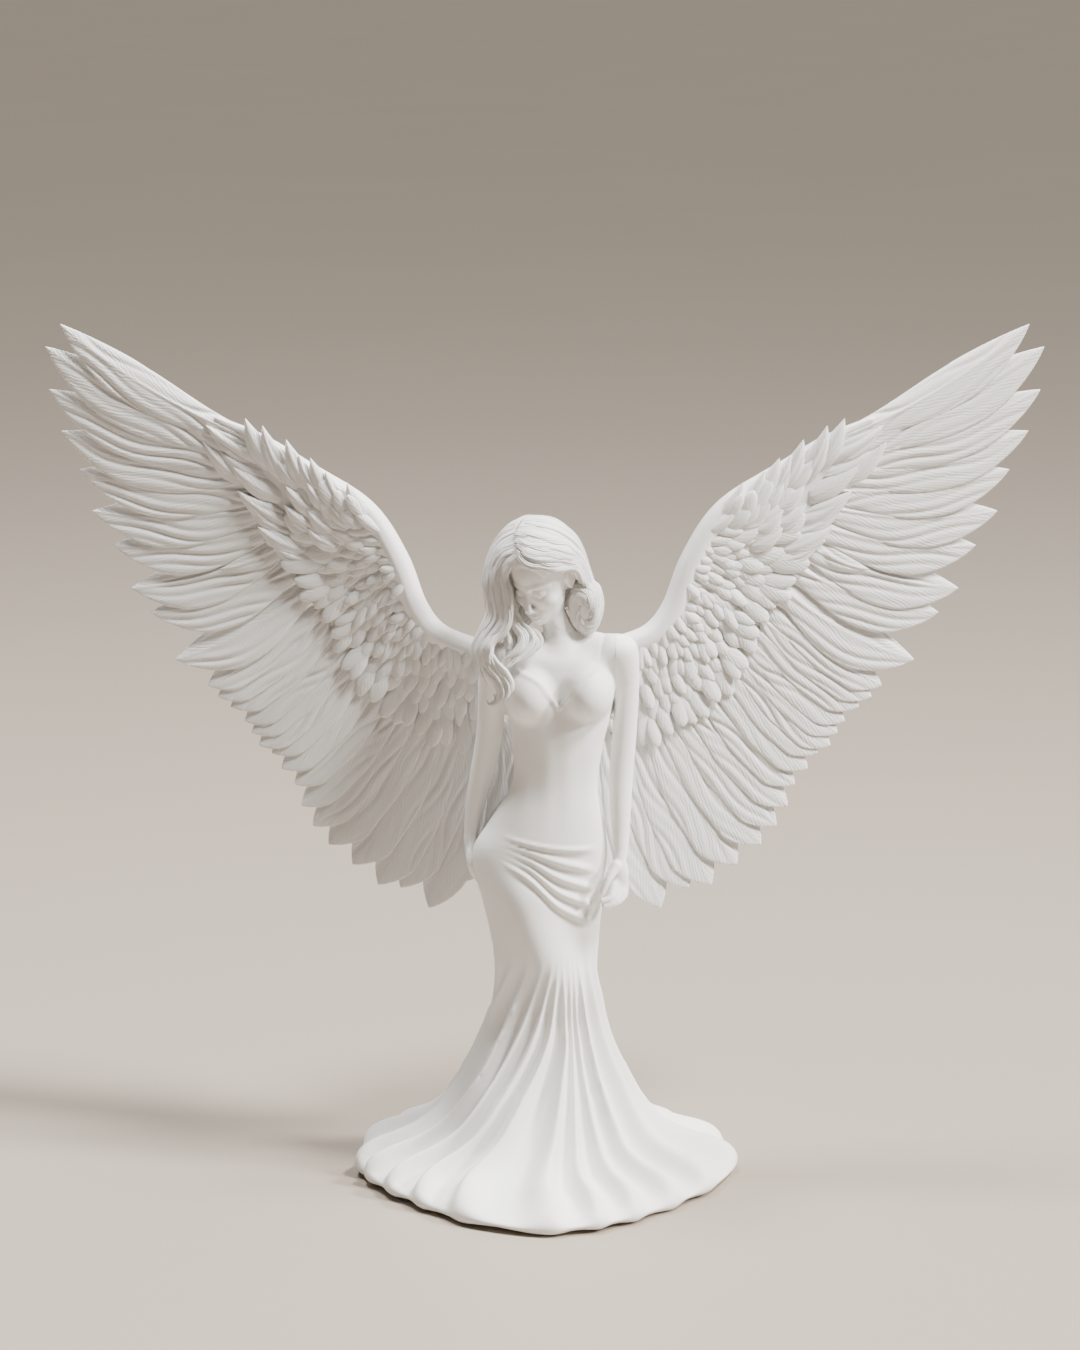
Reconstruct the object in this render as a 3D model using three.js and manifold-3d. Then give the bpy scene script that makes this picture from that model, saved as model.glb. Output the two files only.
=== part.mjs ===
// Winged figure in a long gown: a white cast statuette, assembled from separately cast pieces.
// Millimetres, +Z up. The figure faces -Y, and her own right hand is on the -X side.
// The origin is on the table, under the middle of the base.
import * as THREE from 'three';
import { LoftGeometry } from 'three/addons/geometries/LoftGeometry.js';
import { mergeVertices } from 'three/addons/utils/BufferGeometryUtils.js';
import Module from 'manifold-3d';

const wasm = await Module();
wasm.setup();

// Driving dimensions
const GLUE_GAP = 0.3; // between any two castings
const FELT_THICKNESS = 1.3;
const FELT_RADII = [52, 46]; // along X and Y
const FELT_CENTRE_Y = -8;
const HEM_Z = 0.5; // underside of the gown, which stands on its felt
const GOWN_SIDES = 48;
const GOWN_FOLDS = 12;
const PIN_RADIUS = 1.25; // steel pins of 2.5 mm
const FEATHER_THICKNESS = 1.4;
const SHINGLE_RISE = 0.6; // each flight feather's trailing edge lies this far in front of its axis
const COVERT_OFFSET = 2.1; // from the wing's middle surface to the coverts' glue face
const ROW_STEP = 0.9; // each covert row lies this far in front of the row below it

// Finishes
const castWhite = { color: 0xdedcd8, roughness: 0.62, metalness: 0 };
const steel = { color: 0x9a9ca0, roughness: 0.35, metalness: 1 };
const felt = { color: 0xcfc8bb, roughness: 0.95, metalness: 0 };

const statuette = new THREE.Group();

// A cubic curve through [x, value] knots, level beyond the first and the last one.
function curveThrough(knots) {
  const slope = knots.map((knot, i) => {
    const a = knots[Math.max(i - 1, 0)];
    const b = knots[Math.min(i + 1, knots.length - 1)];
    return (b[1] - a[1]) / (b[0] - a[0]);
  });
  return (x) => {
    if (x <= knots[0][0]) return knots[0][1];
    const i = knots.findIndex((knot) => knot[0] >= x) - 1;
    if (i < 0) return knots[knots.length - 1][1];
    const width = knots[i + 1][0] - knots[i][0];
    const t = (x - knots[i][0]) / width;
    const rise = knots[i + 1][1] - knots[i][1];
    const early = slope[i] * width - rise;
    const late = rise - slope[i + 1] * width;
    return knots[i][1] + rise * t + t * (1 - t) * (early * (1 - t) + late * t);
  };
}

// A plane curve through [x, z] points, as a function of 0 to 1.
function planCurve(points) {
  const curve = new THREE.CatmullRomCurve3(
    points.map(([x, z]) => new THREE.Vector3(x, 0, z)), false, 'catmullrom', 0.5);
  return (u) => {
    const p = curve.getPoint(Math.min(Math.max(u, 0), 1));
    return [p.x, p.z];
  };
}

const mix = (a, b, t) => a.map((value, i) => value + (b[i] - value) * t);

// A closed geometry as a solid that can be joined and cut.
function solid(geometry) {
  const bare = new THREE.BufferGeometry().copy(geometry);
  bare.deleteAttribute('normal');
  bare.deleteAttribute('uv');
  const merged = mergeVertices(bare, 1e-4);
  return new wasm.Manifold(new wasm.Mesh({
    numProp: 3,
    vertProperties: new Float32Array(merged.attributes.position.array),
    triVerts: new Uint32Array(merged.index.array),
  }));
}

const joined = (solids) => solids.reduce((whole, next) => whole.add(next));
const cut = (whole, tools) => tools.reduce((left, tool) => left.subtract(tool), whole);

// Keeps the main body and drops slivers that a cut leaves.
function mainBody(whole) {
  const bodies = whole.decompose();
  return bodies.reduce((best, next) => (next.volume() > best.volume() ? next : best));
}

function addMesh(name, shape, finish) {
  let geometry = shape;
  if (!shape.isBufferGeometry) {
    const { vertProperties, triVerts } = mainBody(shape).getMesh();
    geometry = new THREE.BufferGeometry();
    geometry.setAttribute('position', new THREE.BufferAttribute(vertProperties, 3));
    geometry.setIndex(new THREE.BufferAttribute(triVerts, 1));
    geometry.computeVertexNormals();
  }
  const mesh = new THREE.Mesh(geometry, new THREE.MeshStandardMaterial(finish));
  mesh.name = name;
  statuette.add(mesh);
}

// A closed tube along a curve: radiiAt(t) gives its half width and half depth.
function tube(points, radiiAt, { steps = 10, sides = 10, grow = 0 } = {}) {
  const path = new THREE.CatmullRomCurve3(points.map((p) => new THREE.Vector3(...p)));
  const frames = path.computeFrenetFrames(steps);
  const sections = [];
  for (let i = 0; i <= steps; i++) {
    const [wide, deep] = radiiAt(i / steps);
    const centre = path.getPointAt(i / steps);
    if (i === 0) centre.addScaledVector(frames.tangents[0], -grow);
    if (i === steps) centre.addScaledVector(frames.tangents[steps], grow);
    const section = [];
    for (let j = 0; j < sides; j++) {
      const turn = (j / sides) * 2 * Math.PI;
      section.push(centre.clone()
        .addScaledVector(frames.normals[i], (wide + grow) * Math.cos(turn))
        .addScaledVector(frames.binormals[i], (deep + grow) * Math.sin(turn)));
    }
    sections.push(section);
  }
  return solid(new LoftGeometry(sections, { capStart: true, capEnd: true }));
}

// An ellipsoid in a frame given as a matrix.
function ellipsoid(radii, centre, frame = new THREE.Matrix4(), grow = 0, detail = [16, 10]) {
  const geometry = new THREE.SphereGeometry(1, ...detail);
  geometry.scale(...radii.map((radius) => radius + grow));
  geometry.translate(...centre);
  return solid(geometry.applyMatrix4(frame));
}

// A steel pin from one point to another, and the hole that it sits in.
function pinGeometry(from, to, radius) {
  const start = new THREE.Vector3(...from);
  const along = new THREE.Vector3(...to).sub(start);
  const geometry = new THREE.CylinderGeometry(radius, radius, along.length(), 12);
  geometry.rotateX(Math.PI / 2);
  geometry.applyQuaternion(new THREE.Quaternion().setFromUnitVectors(
    new THREE.Vector3(0, 0, 1), along.clone().normalize()));
  const middle = start.addScaledVector(along, 0.5);
  return geometry.translate(middle.x, middle.y, middle.z);
}

function addPin(name, from, to) {
  addMesh(name, pinGeometry(from, to, PIN_RADIUS), steel);
  const ends = [from, to].map((end, i) => mix(end, i ? from : to, -0.03));
  return solid(pinGeometry(...ends, PIN_RADIUS + GLUE_GAP));
}

// ---- The gown and torso, one solid casting ----
// Each station is its height, then how far the gown reaches to the right, left, front and back.
const gownStations = [
  [HEM_Z, -62, 63, 64, 47], [3.5, -66.5, 67.5, 69, 51], [8, -59, 60, 59.5, 46],
  [12.5, -51, 51.5, 50, 41], [18, -42.5, 41, 41, 35], [25, -34.5, 34, 33, 29],
  [33, -29, 28.5, 27, 24], [44, -23, 23, 20.5, 18], [55, -18, 19.5, 16, 14],
  [67, -16.5, 18, 14, 12], [80, -18, 18.5, 13.5, 12.5], [90, -19.5, 19.5, 13.5, 14],
  [99, -22, 20.5, 13, 15], [108, -24.5, 21.5, 12.5, 15], [117, -25, 21.5, 12, 13.5],
  [127, -19.5, 20.5, 10.5, 10.5], [139, -12, 18.5, 9.5, 8.5], [154, -11, 20, 10.5, 9.5],
  [169, -14, 24, 11.5, 10.5], [178, -15, 24, 9, 10], [183.5, -12.5, 23.5, 7, 8.5],
  [187.5, -5.5, 17, 5.5, 7], [191, 0.5, 11, 4.5, 5.5],
];
const [gownRight, gownLeft, gownFront, gownBack] = [1, 2, 3, 4].map(
  (column) => curveThrough(gownStations.map((station) => [station[0], station[column]])));
const bust = { height: 168.5, spread: 8, angle: 0.62, angularSpread: 0.42, rise: 5.2 };
const foldTopZ = 66;

function gownPoint(angle, z, grow) {
  // The angle is 0 at the front and grows towards her left.
  const middle = (gownRight(z) + gownLeft(z)) / 2;
  const halfWidth = (gownLeft(z) - gownRight(z)) / 2;
  const depth = Math.cos(angle) > 0 ? gownFront(z) : gownBack(z);
  const flare = Math.max(0, (foldTopZ - z) / foldTopZ);
  const fold = 2.6 * flare ** 1.5 * Math.cos(GOWN_FOLDS * angle);
  const side = Math.abs(angle) - bust.angle;
  const breast = bust.rise
    * Math.exp(-((side / bust.angularSpread) ** 2) - ((z - bust.height) / bust.spread) ** 2);
  const out = fold + breast + grow;
  return new THREE.Vector3(
    middle + Math.sin(angle) * (halfWidth + out), -Math.cos(angle) * (depth + out), z);
}

function gownSolid(grow = 0) {
  const sections = gownStations.map(([height], row) => {
    const end = row === 0 ? -grow : row === gownStations.length - 1 ? grow : 0;
    const section = [];
    for (let j = 0; j < GOWN_SIDES; j++) {
      const angle = (j / GOWN_SIDES) * 2 * Math.PI - Math.PI;
      const point = gownPoint(angle, height, grow);
      point.z += end;
      section.push(point);
    }
    return section;
  });
  return solid(new LoftGeometry(sections, { capStart: true, capEnd: true }));
}

function feltPlate(radii, bottom, thickness) {
  const oval = new THREE.Shape().absellipse(0, FELT_CENTRE_Y, ...radii, 0, 2 * Math.PI);
  const options = { depth: thickness, bevelEnabled: false, curveSegments: 32 };
  return new THREE.ExtrudeGeometry(oval, options).translate(0, 0, bottom);
}

// ---- Head and neck ----
const HEAD_CENTRE = [-1, -2, 215.5];
const HEAD_TURN = -Math.PI / 6; // towards her right
const HEAD_BOW = Math.PI / 6; // looking down
const headFrame = new THREE.Matrix4().makeTranslation(...HEAD_CENTRE)
  .multiply(new THREE.Matrix4().makeRotationZ(HEAD_TURN))
  .multiply(new THREE.Matrix4().makeRotationX(HEAD_BOW));
const NECK_PATH = [[5.6, 1, 191.8], [4.4, 1, 197], [1, 0.5, 204]];

function headSolid(grow = 0) {
  const cranium = ellipsoid([10.6, 12.4, 11.6], [0, 1, 2.6], headFrame, grow);
  const face = ellipsoid([8.8, 8.6, 12.4], [0, -3.2, -3.6], headFrame, grow);
  const neck = tube(NECK_PATH, () => [4.7, 4.7], { steps: 4, grow });
  return joined([cranium, face, neck]);
}

// ---- Hair: a cap, the long locks over her right shoulder and the curl behind her left ear ----
function hairCrownSolid(grow = 0) {
  const cap = ellipsoid([14.2, 16, 15.8], [0, 2.4, 2.4], headFrame, grow);
  const window = new THREE.BoxGeometry(18.4, 20, 30).translate(0.6, -13, -9.6);
  return cap.subtract(solid(window.applyMatrix4(headFrame)));
}
const lockPath = [
  [-13, -1.5, 221], [-17.5, -3, 211], [-16.5, -5.5, 201],
  [-17.5, -8.5, 191.5], [-17.5, -11.5, 183], [-14.5, -13, 172],
];
function hairLocksSolid(grow = 0) {
  const width = curveThrough([[0, 3], [0.25, 4.6], [0.6, 8], [0.85, 6.6], [1, 1.6]]);
  return tube(lockPath, (t) => [4.4 - 2 * t, width(t)], { steps: 14, grow });
}
const hairCurlSolid = (grow = 0) => ellipsoid([6.4, 6.8, 9.6], [14.2, 1, 203.4], undefined, grow);

// ---- Arms ----
const arms = {
  right: {
    path: [
      [-17.5, 1, 181.5], [-19, 2.5, 168], [-21.5, 5, 150], [-23.5, 7.5, 132],
      [-24.5, 8, 117], [-24, 7.5, 108], [-23, 6, 98.5],
    ],
    pin: [[-8, 1.5, 179], [-18.2, 1.8, 175.5]],
  },
  left: {
    path: [
      [26.5, 1, 181.5], [27.5, 2, 168], [27, 2.5, 150], [26.2, 0.5, 133],
      [25.6, -3, 118], [25.2, -6, 110], [22.5, -9.5, 98.5],
    ],
    pin: [[17, 1.5, 179], [27, 1.8, 175.5]],
  },
};
// Half widths from shoulder to fingertips, across the body and from front to back.
const armWidth = curveThrough([
  [0, 3.5], [0.06, 4.8], [0.2, 4.5], [0.42, 4.1], [0.6, 3.7], [0.78, 2.6], [0.9, 3.8], [1, 1.6]]);
const armDepth = curveThrough([
  [0, 3.5], [0.06, 5.2], [0.2, 4.8], [0.42, 4.2], [0.6, 3.9], [0.78, 2.4], [0.9, 2.8], [1, 1.4]]);
function armSolid(side, grow = 0) {
  return tube(arms[side].path, (t) => [armDepth(t), armWidth(t)], { steps: 16, grow });
}

// ---- Wings ----
// The layout is drawn in the front plane for a wing on the -X side, and side = 1 mirrors it.
const leadingEdge = planCurve([
  [-118, 265.5], [-98, 258.5], [-80, 248.5], [-66, 240.5], [-54.5, 229.5],
  [-47.5, 214], [-43, 201], [-35, 192], [-24, 187],
]);
const covertEdge = planCurve([
  [-121, 255.5], [-108, 238], [-100, 226], [-91, 210], [-80, 194],
  [-72, 178], [-60, 162], [-44, 152.5], [-27, 146],
]);
const primaryTips = planCurve([
  [-169.5, 295.5], [-175, 285], [-172.5, 265], [-163.5, 244.5], [-152, 218], [-140, 196], [-130.5, 178],
]);
const primaryRoots = planCurve([[-110, 259.5], [-101, 246], [-92, 228], [-82, 206]]);
const secondaryTips = planCurve([
  [-119, 169], [-103, 153], [-90, 137], [-77, 114.5], [-58, 99], [-41, 92], [-31, 104],
]);
const secondaryRoots = planCurve([[-78, 198], [-71, 187], [-64, 176], [-50, 166], [-36, 160], [-26, 158]]);
const flights = { primaries: 10, secondaries: 17 };
const flightWidth = { primary: 16.5, secondary: 13.5 };
const flightSag = { primary: -2, secondary: -1 }; // how far the quills bow towards the trailing edge

// The wing's middle surface: swept back towards the tip, and cupped forwards towards the trailing edge.
function wingDepth(x, z) {
  const chord = Math.max(0, 0.6 * (Math.abs(x) - 45) - 0.8 * (z - 205));
  return 17 + 0.15 * Math.abs(x) - 0.001 * chord * chord;
}

const wingPatch = (u, v) => mix(leadingEdge(u), covertEdge(u), v);

// A flat plate with the given plan outline, laid on the wing's surface: lift is in front of it.
function platedOutline(outline, side, thickness, liftAt) {
  const shape = new THREE.Shape(outline.map(([x, z]) => new THREE.Vector2(side * -x, z)));
  const geometry = new THREE.ExtrudeGeometry(shape, { depth: thickness, bevelEnabled: false });
  const position = geometry.attributes.position;
  for (let i = 0; i < position.count; i++) {
    const [x, z, depth] = [position.getX(i), position.getY(i), position.getZ(i)];
    position.setXYZ(i, x, wingDepth(x, z) - depth - liftAt(side * -x, z), z);
  }
  return solid(geometry);
}

// How wide a flight feather is along its length, as [part of length, part of full width].
const flightVane = [[0, 0.36], [0.4, 0.85], [0.7, 1], [0.92, 0.6]];

// One feather from its root to its tip. The leading vane is the narrower one.
function featherSolid(root, tip, width, side, sag) {
  const length = Math.hypot(tip[0] - root[0], tip[1] - root[1]);
  const along = [(tip[0] - root[0]) / length, (tip[1] - root[1]) / length];
  const across = [along[1], -along[0]]; // towards the leading edge
  const at = (t, offset) => {
    const bow = sag * 4 * t * (1 - t) + offset;
    return root.map((value, i) => value + along[i] * length * t + across[i] * bow);
  };
  const outline = [
    ...flightVane.map(([t, share]) => at(t, 0.42 * width * share)),
    at(1, 0.04 * width),
    ...flightVane.toReversed().map(([t, share]) => at(t, -0.58 * width * share)),
  ];
  const liftAt = (x, z) => {
    const sideways = (x - root[0]) * across[0] + (z - root[1]) * across[1];
    return -FEATHER_THICKNESS / 2 - (SHINGLE_RISE * sideways) / (width / 2);
  };
  return platedOutline(outline, side, FEATHER_THICKNESS, liftAt);
}

function flightFeathers(side) {
  const feathers = [webPlate(side)];
  for (let i = 0; i < flights.primaries; i++) {
    const u = i / (flights.primaries - 1);
    const width = flightWidth.primary * (i === 0 ? 0.8 : 1);
    feathers.push(featherSolid(primaryRoots(u), primaryTips(u), width, side, flightSag.primary));
  }
  for (let i = 0; i < flights.secondaries; i++) {
    const u = i / (flights.secondaries - 1);
    const [root, tip] = [secondaryRoots(u), secondaryTips(u)];
    feathers.push(featherSolid(root, tip, flightWidth.secondary, side, flightSag.secondary));
  }
  return joined(feathers);
}

// The hidden sheet that joins the quills and reaches up to the spar.
function webPlate(side) {
  const steps = [0.06, 0.25, 0.43, 0.6, 0.78, 0.96];
  const outline = [
    ...steps.map((u) => wingPatch(u, 0.1)),
    ...steps.toReversed().map((u) => wingPatch(u, 0.72)),
  ];
  return platedOutline(outline, side, 2 * FEATHER_THICKNESS, () => -FEATHER_THICKNESS);
}

// One row of coverts is a sheet with a scalloped lower edge, one scallop to a feather.
// The scallops are drawn in wing-patch coordinates, along the wing and down its chord.
const scallop = [[0, -0.13], [0.22, -0.035], [0.42, 0], [0.72, -0.05]];

function covertRow(side, { tipAt, rootAt, count }, lift) {
  const [outer, inner] = [0.02, 0.98];
  const pitch = (inner - outer) / count;
  const lower = [];
  for (let i = 0; i < count; i++) {
    for (const [along, down] of scallop) lower.push([outer + (i + along) * pitch, tipAt + down]);
  }
  lower.push([inner, tipAt + scallop[0][1]]);
  const upper = [0, 0.2, 0.4, 0.6, 0.8, 1].map((share) => [outer + share * (inner - outer), rootAt]);
  const outline = [...upper, ...lower.toReversed()].map(([u, v]) => wingPatch(u, v));
  return platedOutline(outline, side, FEATHER_THICKNESS, () => lift);
}

// The rows overlap like roof tiles. Facing is 1 for the front of the wing and -1 for its back.
function coverts(side, rows, facing) {
  return joined(rows.map((row, i) => {
    const lift = COVERT_OFFSET + ROW_STEP * i;
    return covertRow(side, row, facing > 0 ? lift : -lift - FEATHER_THICKNESS);
  }));
}
const frontRows = [
  { tipAt: 1, rootAt: 0.12, count: 14 },
  { tipAt: 0.78, rootAt: 0.13, count: 14 },
  { tipAt: 0.54, rootAt: 0.14, count: 13 },
];
const rearRows = [{ tipAt: 0.95, rootAt: 0.12, count: 12 }, { tipAt: 0.6, rootAt: 0.13, count: 11 }];

// The spar is the bare arm of the wing, from its tenon in her back to the wrist and hand.
const sparRoots = { '-1': [[-2.5, 3.6, 176.5], [-9, 11, 179.5]], 1: [[11, 3.6, 176.5], [14, 11, 179.5]] };
const sparRadius = curveThrough([[0, 2.9], [0.1, 4], [0.3, 5], [0.5, 4.6], [0.75, 3.2], [1, 1.6]]);
function sparSolid(side, grow = 0) {
  const outer = [0.97, 0.86, 0.74, 0.6, 0.45, 0.3, 0.15, 0.03].map((u) => {
    const [x, z] = wingPatch(u, 0.1);
    return [side * -x, wingDepth(x, z) - 0.6, z];
  });
  const path = [...sparRoots[side], ...outer];
  return tube(path, (t) => [sparRadius(t), sparRadius(t)], { steps: 26, grow });
}

// ---- Assembly: each casting is cut clear of the ones fitted before it ----
const pinHoles = [
  addPin('neck_pin', [6, 1, 184], [4, 1, 199]),
  addPin('right_arm_pin', ...arms.right.pin),
  addPin('left_arm_pin', ...arms.left.pin),
  addPin('right_wing_pin', [4.6, -4, 174], [-7.2, 9.2, 178.8]),
  addPin('left_wing_pin', [9.8, -4, 174], [13.2, 9.2, 178.8]),
];
const spars = { '-1': sparSolid(-1), 1: sparSolid(1) };
const sparSpaces = [sparSolid(-1, GLUE_GAP), sparSolid(1, GLUE_GAP)];

const feltRecess = solid(feltPlate(
  FELT_RADII.map((radius) => radius + GLUE_GAP), HEM_Z - 1, FELT_THICKNESS + GLUE_GAP - HEM_Z + 1));
addMesh('gown_casting', cut(gownSolid(), [feltRecess, ...sparSpaces, ...pinHoles]), castWhite);
const gownSpace = gownSolid(GLUE_GAP);

addMesh('head', cut(headSolid(), [gownSpace, ...pinHoles]), castWhite);
const headSpace = headSolid(GLUE_GAP);

for (const name of ['right', 'left'])
  addMesh(`${name}_arm`, cut(armSolid(name), [gownSpace, ...sparSpaces, ...pinHoles]), castWhite);
const armSpaces = [armSolid('right', GLUE_GAP), armSolid('left', GLUE_GAP)];

const figureSpaces = [gownSpace, headSpace, ...armSpaces, ...sparSpaces];
addMesh('hair_crown', cut(hairCrownSolid(), figureSpaces), castWhite);
const crownSpace = hairCrownSolid(GLUE_GAP);
addMesh('hair_right_locks', cut(hairLocksSolid(), [...figureSpaces, crownSpace]), castWhite);
addMesh('hair_left_curl', cut(hairCurlSolid(), [...figureSpaces, crownSpace]), castWhite);
const hairSpaces = [crownSpace, hairLocksSolid(GLUE_GAP), hairCurlSolid(GLUE_GAP)];

const bodySpaces = [gownSpace, headSpace, ...armSpaces, ...hairSpaces];
for (const [name, side, sparSpace] of [['right', -1, sparSpaces[0]], ['left', 1, sparSpaces[1]]]) {
  const spaces = [sparSpace, ...bodySpaces];
  addMesh(`${name}_wing_spar`, cut(spars[side], pinHoles), castWhite);
  addMesh(`${name}_wing_flight_feathers`, cut(flightFeathers(side), spaces), castWhite);
  addMesh(`${name}_wing_front_coverts`, cut(coverts(side, frontRows, 1), spaces), castWhite);
  addMesh(`${name}_wing_rear_coverts`, cut(coverts(side, rearRows, -1), spaces), castWhite);
}

addMesh('felt_pad', feltPlate(FELT_RADII, 0, FELT_THICKNESS), felt);

export default statuette;
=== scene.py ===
import math

import bpy
import numpy as np
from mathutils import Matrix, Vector


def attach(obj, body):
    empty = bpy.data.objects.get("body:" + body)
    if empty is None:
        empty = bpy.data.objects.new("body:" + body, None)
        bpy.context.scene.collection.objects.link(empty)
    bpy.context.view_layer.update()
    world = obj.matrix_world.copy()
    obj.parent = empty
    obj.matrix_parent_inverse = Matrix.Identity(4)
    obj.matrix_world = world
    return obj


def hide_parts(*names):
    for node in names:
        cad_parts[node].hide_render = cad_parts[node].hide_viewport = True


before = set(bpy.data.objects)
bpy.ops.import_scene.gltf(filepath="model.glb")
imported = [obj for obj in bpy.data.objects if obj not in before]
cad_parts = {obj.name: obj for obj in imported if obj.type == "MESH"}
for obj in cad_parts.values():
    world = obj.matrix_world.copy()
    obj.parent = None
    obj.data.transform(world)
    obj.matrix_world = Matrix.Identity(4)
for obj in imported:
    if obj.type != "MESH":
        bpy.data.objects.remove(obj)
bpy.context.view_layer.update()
millimetre = 0.001
bodyName = "root"
# how many grid points of a field are worked out at a time
batchSize = 400000


# curves and small sums

def smoothStep(start, end, x):
    share = np.clip((np.asarray(x, float) - start) / (end - start), 0, 1)
    return share * share * (3 - 2 * share)


def bump(x, centre, width):
    return np.exp(-((np.asarray(x, float) - centre) / width) ** 2)


def profile(knots, x):
    # a smooth curve through (x, value) knots
    xs = np.array([k[0] for k in knots], float)
    ys = np.array([k[1] for k in knots], float)
    slope = np.gradient(ys, xs)
    x = np.clip(np.asarray(x, float), xs[0], xs[-1])
    i = np.clip(np.searchsorted(xs, x) - 1, 0, len(xs) - 2)
    width = xs[i + 1] - xs[i]
    t = (x - xs[i]) / width
    rise = ys[i + 1] - ys[i]
    early = slope[i] * width - rise
    late = rise - slope[i + 1] * width
    return ys[i] + rise * t + t * (1 - t) * (early * (1 - t) + late * t)


def curveThrough(points, share):
    # Catmull-Rom curve through points, share from 0 at the first to 1 at the last
    points = np.array(points, float)
    padded = np.vstack([2 * points[0] - points[1], points, 2 * points[-1] - points[-2]])
    place = np.clip(np.atleast_1d(share), 0, 1) * (len(points) - 1)
    i = np.clip(place.astype(int), 0, len(points) - 2)
    t = (place - i)[:, None]
    a, b, c, d = padded[i], padded[i + 1], padded[i + 2], padded[i + 3]
    return 0.5 * (2 * b + (c - a) * t + (2 * a - 5 * b + 4 * c - d) * t**2 + (3 * b - a - 3 * c + d) * t**3)


def evenly(points, count):
    # the same curve, as points a constant distance apart
    fine = curveThrough(points, np.linspace(0, 1, 400))
    run = np.concatenate([[0], np.cumsum(np.linalg.norm(np.diff(fine, axis=0), axis=1))])
    wanted = np.linspace(0, run[-1], count)
    return np.stack([np.interp(wanted, run, fine[:, k]) for k in range(fine.shape[1])], 1)


def unit(vectors):
    vectors = np.asarray(vectors, float)
    return vectors / np.maximum(np.linalg.norm(vectors, axis=-1, keepdims=True), 1e-9)


# solid shapes as distance fields, negative inside

def softMin(a, b, soften):
    share = np.clip(0.5 + 0.5 * (b - a) / soften, 0, 1)
    return b + (a - b) * share - soften * share * (1 - share)


def softMax(a, b, soften):
    return -softMin(-a, -b, soften)


def egg(p, centre, radii, turned=None):
    # an ellipsoid; turned holds its three axes as columns
    q = p - np.array(centre, float)
    if turned is not None:
        q = q @ turned
    near = np.linalg.norm(q / np.array(radii), axis=-1)
    steep = np.linalg.norm(q / np.array(radii) ** 2, axis=-1)
    return near * (near - 1) / np.maximum(steep, 1e-6)


def rod(p, path, radii, steps=12):
    # a round limb along a curve; radii are spread evenly along it
    share = np.linspace(0, 1, steps)
    centre = curveThrough(path, share)
    radius = curveThrough(np.array(radii, float)[:, None], share)[:, 0]
    nearest = np.full(len(p), 1e9)
    for i in range(steps - 1):
        axis = centre[i + 1] - centre[i]
        offset = p - centre[i]
        t = np.clip(offset @ axis / (axis @ axis), 0, 1)
        gap = np.linalg.norm(offset - t[:, None] * axis, axis=1)
        nearest = np.minimum(nearest, gap - radius[i] - (radius[i + 1] - radius[i]) * t)
    return nearest


def slopeOf(field, points, step=0.02):
    slope = np.empty_like(points)
    for k in range(3):
        shift = np.zeros(3)
        shift[k] = step
        slope[:, k] = (field(points + shift) - field(points - shift)) / (2 * step)
    return slope


def skinOf(field, low, high, step):
    # quads over the zero surface of a field, one point for each grid cell that it crosses
    low, high = np.array(low, float), np.array(high, float)
    counts = np.ceil((high - low) / step).astype(int) + 1
    grid = np.stack(np.meshgrid(*[np.arange(n) for n in counts], indexing="ij"), -1).reshape(-1, 3)
    batches = np.array_split(grid, 1 + len(grid) // batchSize)
    value = np.concatenate([field(low + step * batch) for batch in batches]).reshape(counts)
    inside = value < 0
    corners = [(i, j, k) for i in (0, 1) for j in (0, 1) for k in (0, 1)]
    filled = sum(inside[i:counts[0] - 1 + i, j:counts[1] - 1 + j, k:counts[2] - 1 + k].astype(int)
                 for i, j, k in corners)
    crossed = (filled > 0) & (filled < 8)
    order = np.full(crossed.shape, -1)
    order[crossed] = np.arange(crossed.sum())
    cells = np.argwhere(crossed)
    total, hits = np.zeros((len(cells), 3)), np.zeros((len(cells), 1))
    for a in corners:
        for k in range(3):
            if a[k]:
                continue
            b = list(a)
            b[k] = 1
            va = value[tuple((cells + a).T)]
            vb = value[tuple((cells + b).T)]
            hit = ((va < 0) != (vb < 0))[:, None]
            share = np.where(hit[:, 0], va / np.where(va == vb, 1, va - vb), 0)[:, None]
            total += np.where(hit, np.array(a) + (np.array(b) - a) * share, 0)
            hits += hit
    points = low + step * (cells + total / np.maximum(hits, 1))
    faces = []
    for k in range(3):
        u, w = np.eye(3, dtype=int)[(k + 1) % 3], np.eye(3, dtype=int)[(k + 2) % 3]
        ahead = np.roll(inside, -1, axis=k)
        edge = np.argwhere(inside != ahead)
        keep = (edge[:, k] < counts[k] - 1) & (edge @ u > 0) & (edge @ w > 0)
        edge = edge[keep & (edge @ u < counts[(k + 1) % 3] - 1) & (edge @ w < counts[(k + 2) % 3] - 1)]
        quad = np.stack([order[tuple((edge - s).T)] for s in (0 * u, u, u + w, w)], 1)
        outward = inside[tuple(edge.T)]
        faces += np.where(outward[:, None], quad, quad[:, ::-1]).tolist()
    for _ in range(2):
        slope = slopeOf(field, points)
        move = field(points)[:, None] * slope / np.maximum((slope**2).sum(1, keepdims=True), 0.2)
        points = points - np.clip(move, -0.5 * step, 0.5 * step)
    return points, faces


# meshes

def ringFaces(rings, around, start=0):
    # quads between closed rings of points, and a cap at each end
    i = np.arange(rings - 1)[:, None] * around
    j = np.arange(around)[None, :]
    k = (j + 1) % around
    quads = np.stack([i + j, i + k, i + around + k, i + around + j], -1).reshape(-1, 4) + start
    first = list(range(start + around - 1, start - 1, -1))
    last = list(range(start + (rings - 1) * around, start + rings * around))
    return quads.tolist() + [first, last]


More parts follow.
